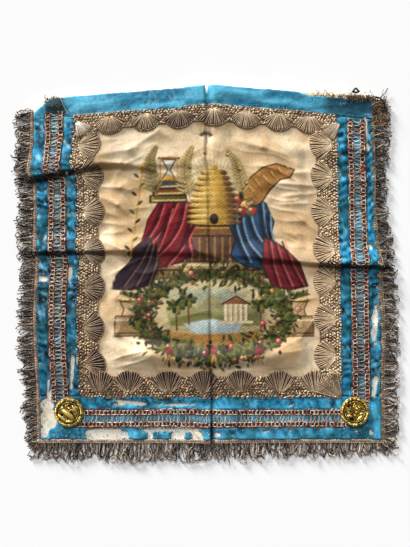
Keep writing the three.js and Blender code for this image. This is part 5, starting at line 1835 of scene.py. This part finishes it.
def make_fraying(seed):
    rng = np.random.default_rng(seed)
    threads = Threads()
    steps = np.linspace(0, 1, FRAY_POINTS)
    for row in FRAYED:
        px = rng.uniform(row.x0, row.x1, row.count)[:, None]
        py = rng.uniform(row.y0, row.y1, row.count)[:, None]
        angle = rng.uniform(0, 2 * np.pi, row.count)[:, None]
        angle = angle + rng.normal(0, 1.4, row.count)[:, None] * steps
        length = row.length / PHOTO_MM * rng.uniform(0.4, 1.2, (row.count, 1))
        s, t = flat_at(px + np.cumsum(np.cos(angle), axis=1) * length / FRAY_POINTS,
                       py + np.cumsum(np.sin(angle), axis=1) * length / FRAY_POINTS)
        path = on_cloth(s, t, row.w + 0.5 * rng.uniform(0, 1, (row.count, 1)))
        threads.tubes(path, row.radius, 4, pick(rng, row.tones, row.count, 0.2)[:, None])
    dress(threads.build("frayed_threads"), SILK, "ribbon_left")


# Longer loose threads, through photo positions
Cord = namedtuple("Cord", "points w radius tone")
CORDS = [
    Cord([(60.5, 98), (63, 104), (66, 110), (68.5, 115)], 3.6, 0.7, rgb(170, 172, 172)),
    Cord([(51, 118.2), (60, 117.6), (68, 118.4), (77, 118.2)], 3.8, 0.45, rgb(150, 190, 196)),
    Cord([(69, 111), (80, 114.5), (95, 117.6)], 3.2, 0.4, rgb(110, 180, 200)),
    Cord([(382.5, 90.5), (381.5, 94), (380.5, 98), (380, 102)], 3.0, 0.3, rgb(70, 60, 50)),
    Cord([(374, 98), (379, 99.5), (383, 103), (384.5, 108)], 4.4, 1.0, rgb(58, 48, 40)),
    Cord([(45.6, 95.2), (45.4, 98), (46, 103)], 3.2, 0.35, rgb(70, 62, 50)),
]


def make_cords():
    threads = Threads()
    for cord in CORDS:
        plan = curve(cord.points, 4 * len(cord.points))
        path = on_cloth(*flat_at(plan[:, 0], plan[:, 1]), cord.w)
        threads.tubes(path, cord.radius, 5, cord.tone)
    dress(threads.build("loose_cords"), FRINGE_THREAD, "fringe_right")


make_fraying(190)
make_cords()

# Floor, light and camera
FLOOR_HALF = 3000
FLOOR_Z = -0.15
corners = FLOOR_HALF * np.array([(-1, -1), (1, -1), (1, 1), (-1, 1)])
floor = make_object("floor", points_at(corners[:, 0], corners[:, 1], FLOOR_Z), [(0, 1, 2, 3)], [],
                    np.tile(rgb(250, 250, 250), (4, 1)))
floor.data.materials.append(floor_look())

# The camera looks straight down from where the whole frame spans the photograph's
CAMERA_LENS = 50
SENSOR = 36
SUBJECT_Z = 2

# Lamps: how far each leans from overhead towards the waist edge and towards the left, in degrees
Lamp = namedtuple("Lamp", "name lean side strength softness")
LAMPS = [
    Lamp("key", 46, 16, 1.95, 24),
    Lamp("raking", 75.5, 36, 4.85, 14),
]
FILL_STRENGTH = 0.2


def place_camera():
    data = bpy.data.cameras.new("camera")
    data.lens = CAMERA_LENS
    data.sensor_width = SENSOR
    data.clip_end = 20
    camera = bpy.data.objects.new("camera", data)
    x, y = plan_from(IMAGE_WIDTH / 2, IMAGE_HEIGHT / 2)
    distance = IMAGE_HEIGHT * PHOTO_MM * CAMERA_LENS / SENSOR
    camera.location = Vector((x + SHIFT[0], y + SHIFT[1], distance + SUBJECT_Z)) * MM
    bpy.context.scene.collection.objects.link(camera)
    bpy.context.scene.camera = camera


def place_light():
    for lamp in LAMPS:
        data = bpy.data.lights.new(lamp.name, "SUN")
        data.energy = lamp.strength
        data.angle = np.radians(lamp.softness)
        thing = bpy.data.objects.new(lamp.name, data)
        lean = np.radians(lamp.lean)
        side = np.radians(lamp.side)
        towards = Vector((-np.sin(lean) * np.sin(side), np.sin(lean) * np.cos(side), np.cos(lean)))
        thing.rotation_euler = towards.to_track_quat("Z", "Y").to_euler()
        bpy.context.scene.collection.objects.link(thing)
    world = bpy.data.worlds.new("studio")
    world.use_nodes = True
    background = world.node_tree.nodes["Background"]
    background.inputs["Color"].default_value = (1, 1, 1, 1)
    background.inputs["Strength"].default_value = FILL_STRENGTH
    bpy.context.scene.world = world
    bpy.context.scene.view_settings.view_transform = "Standard"


place_camera()
place_light()
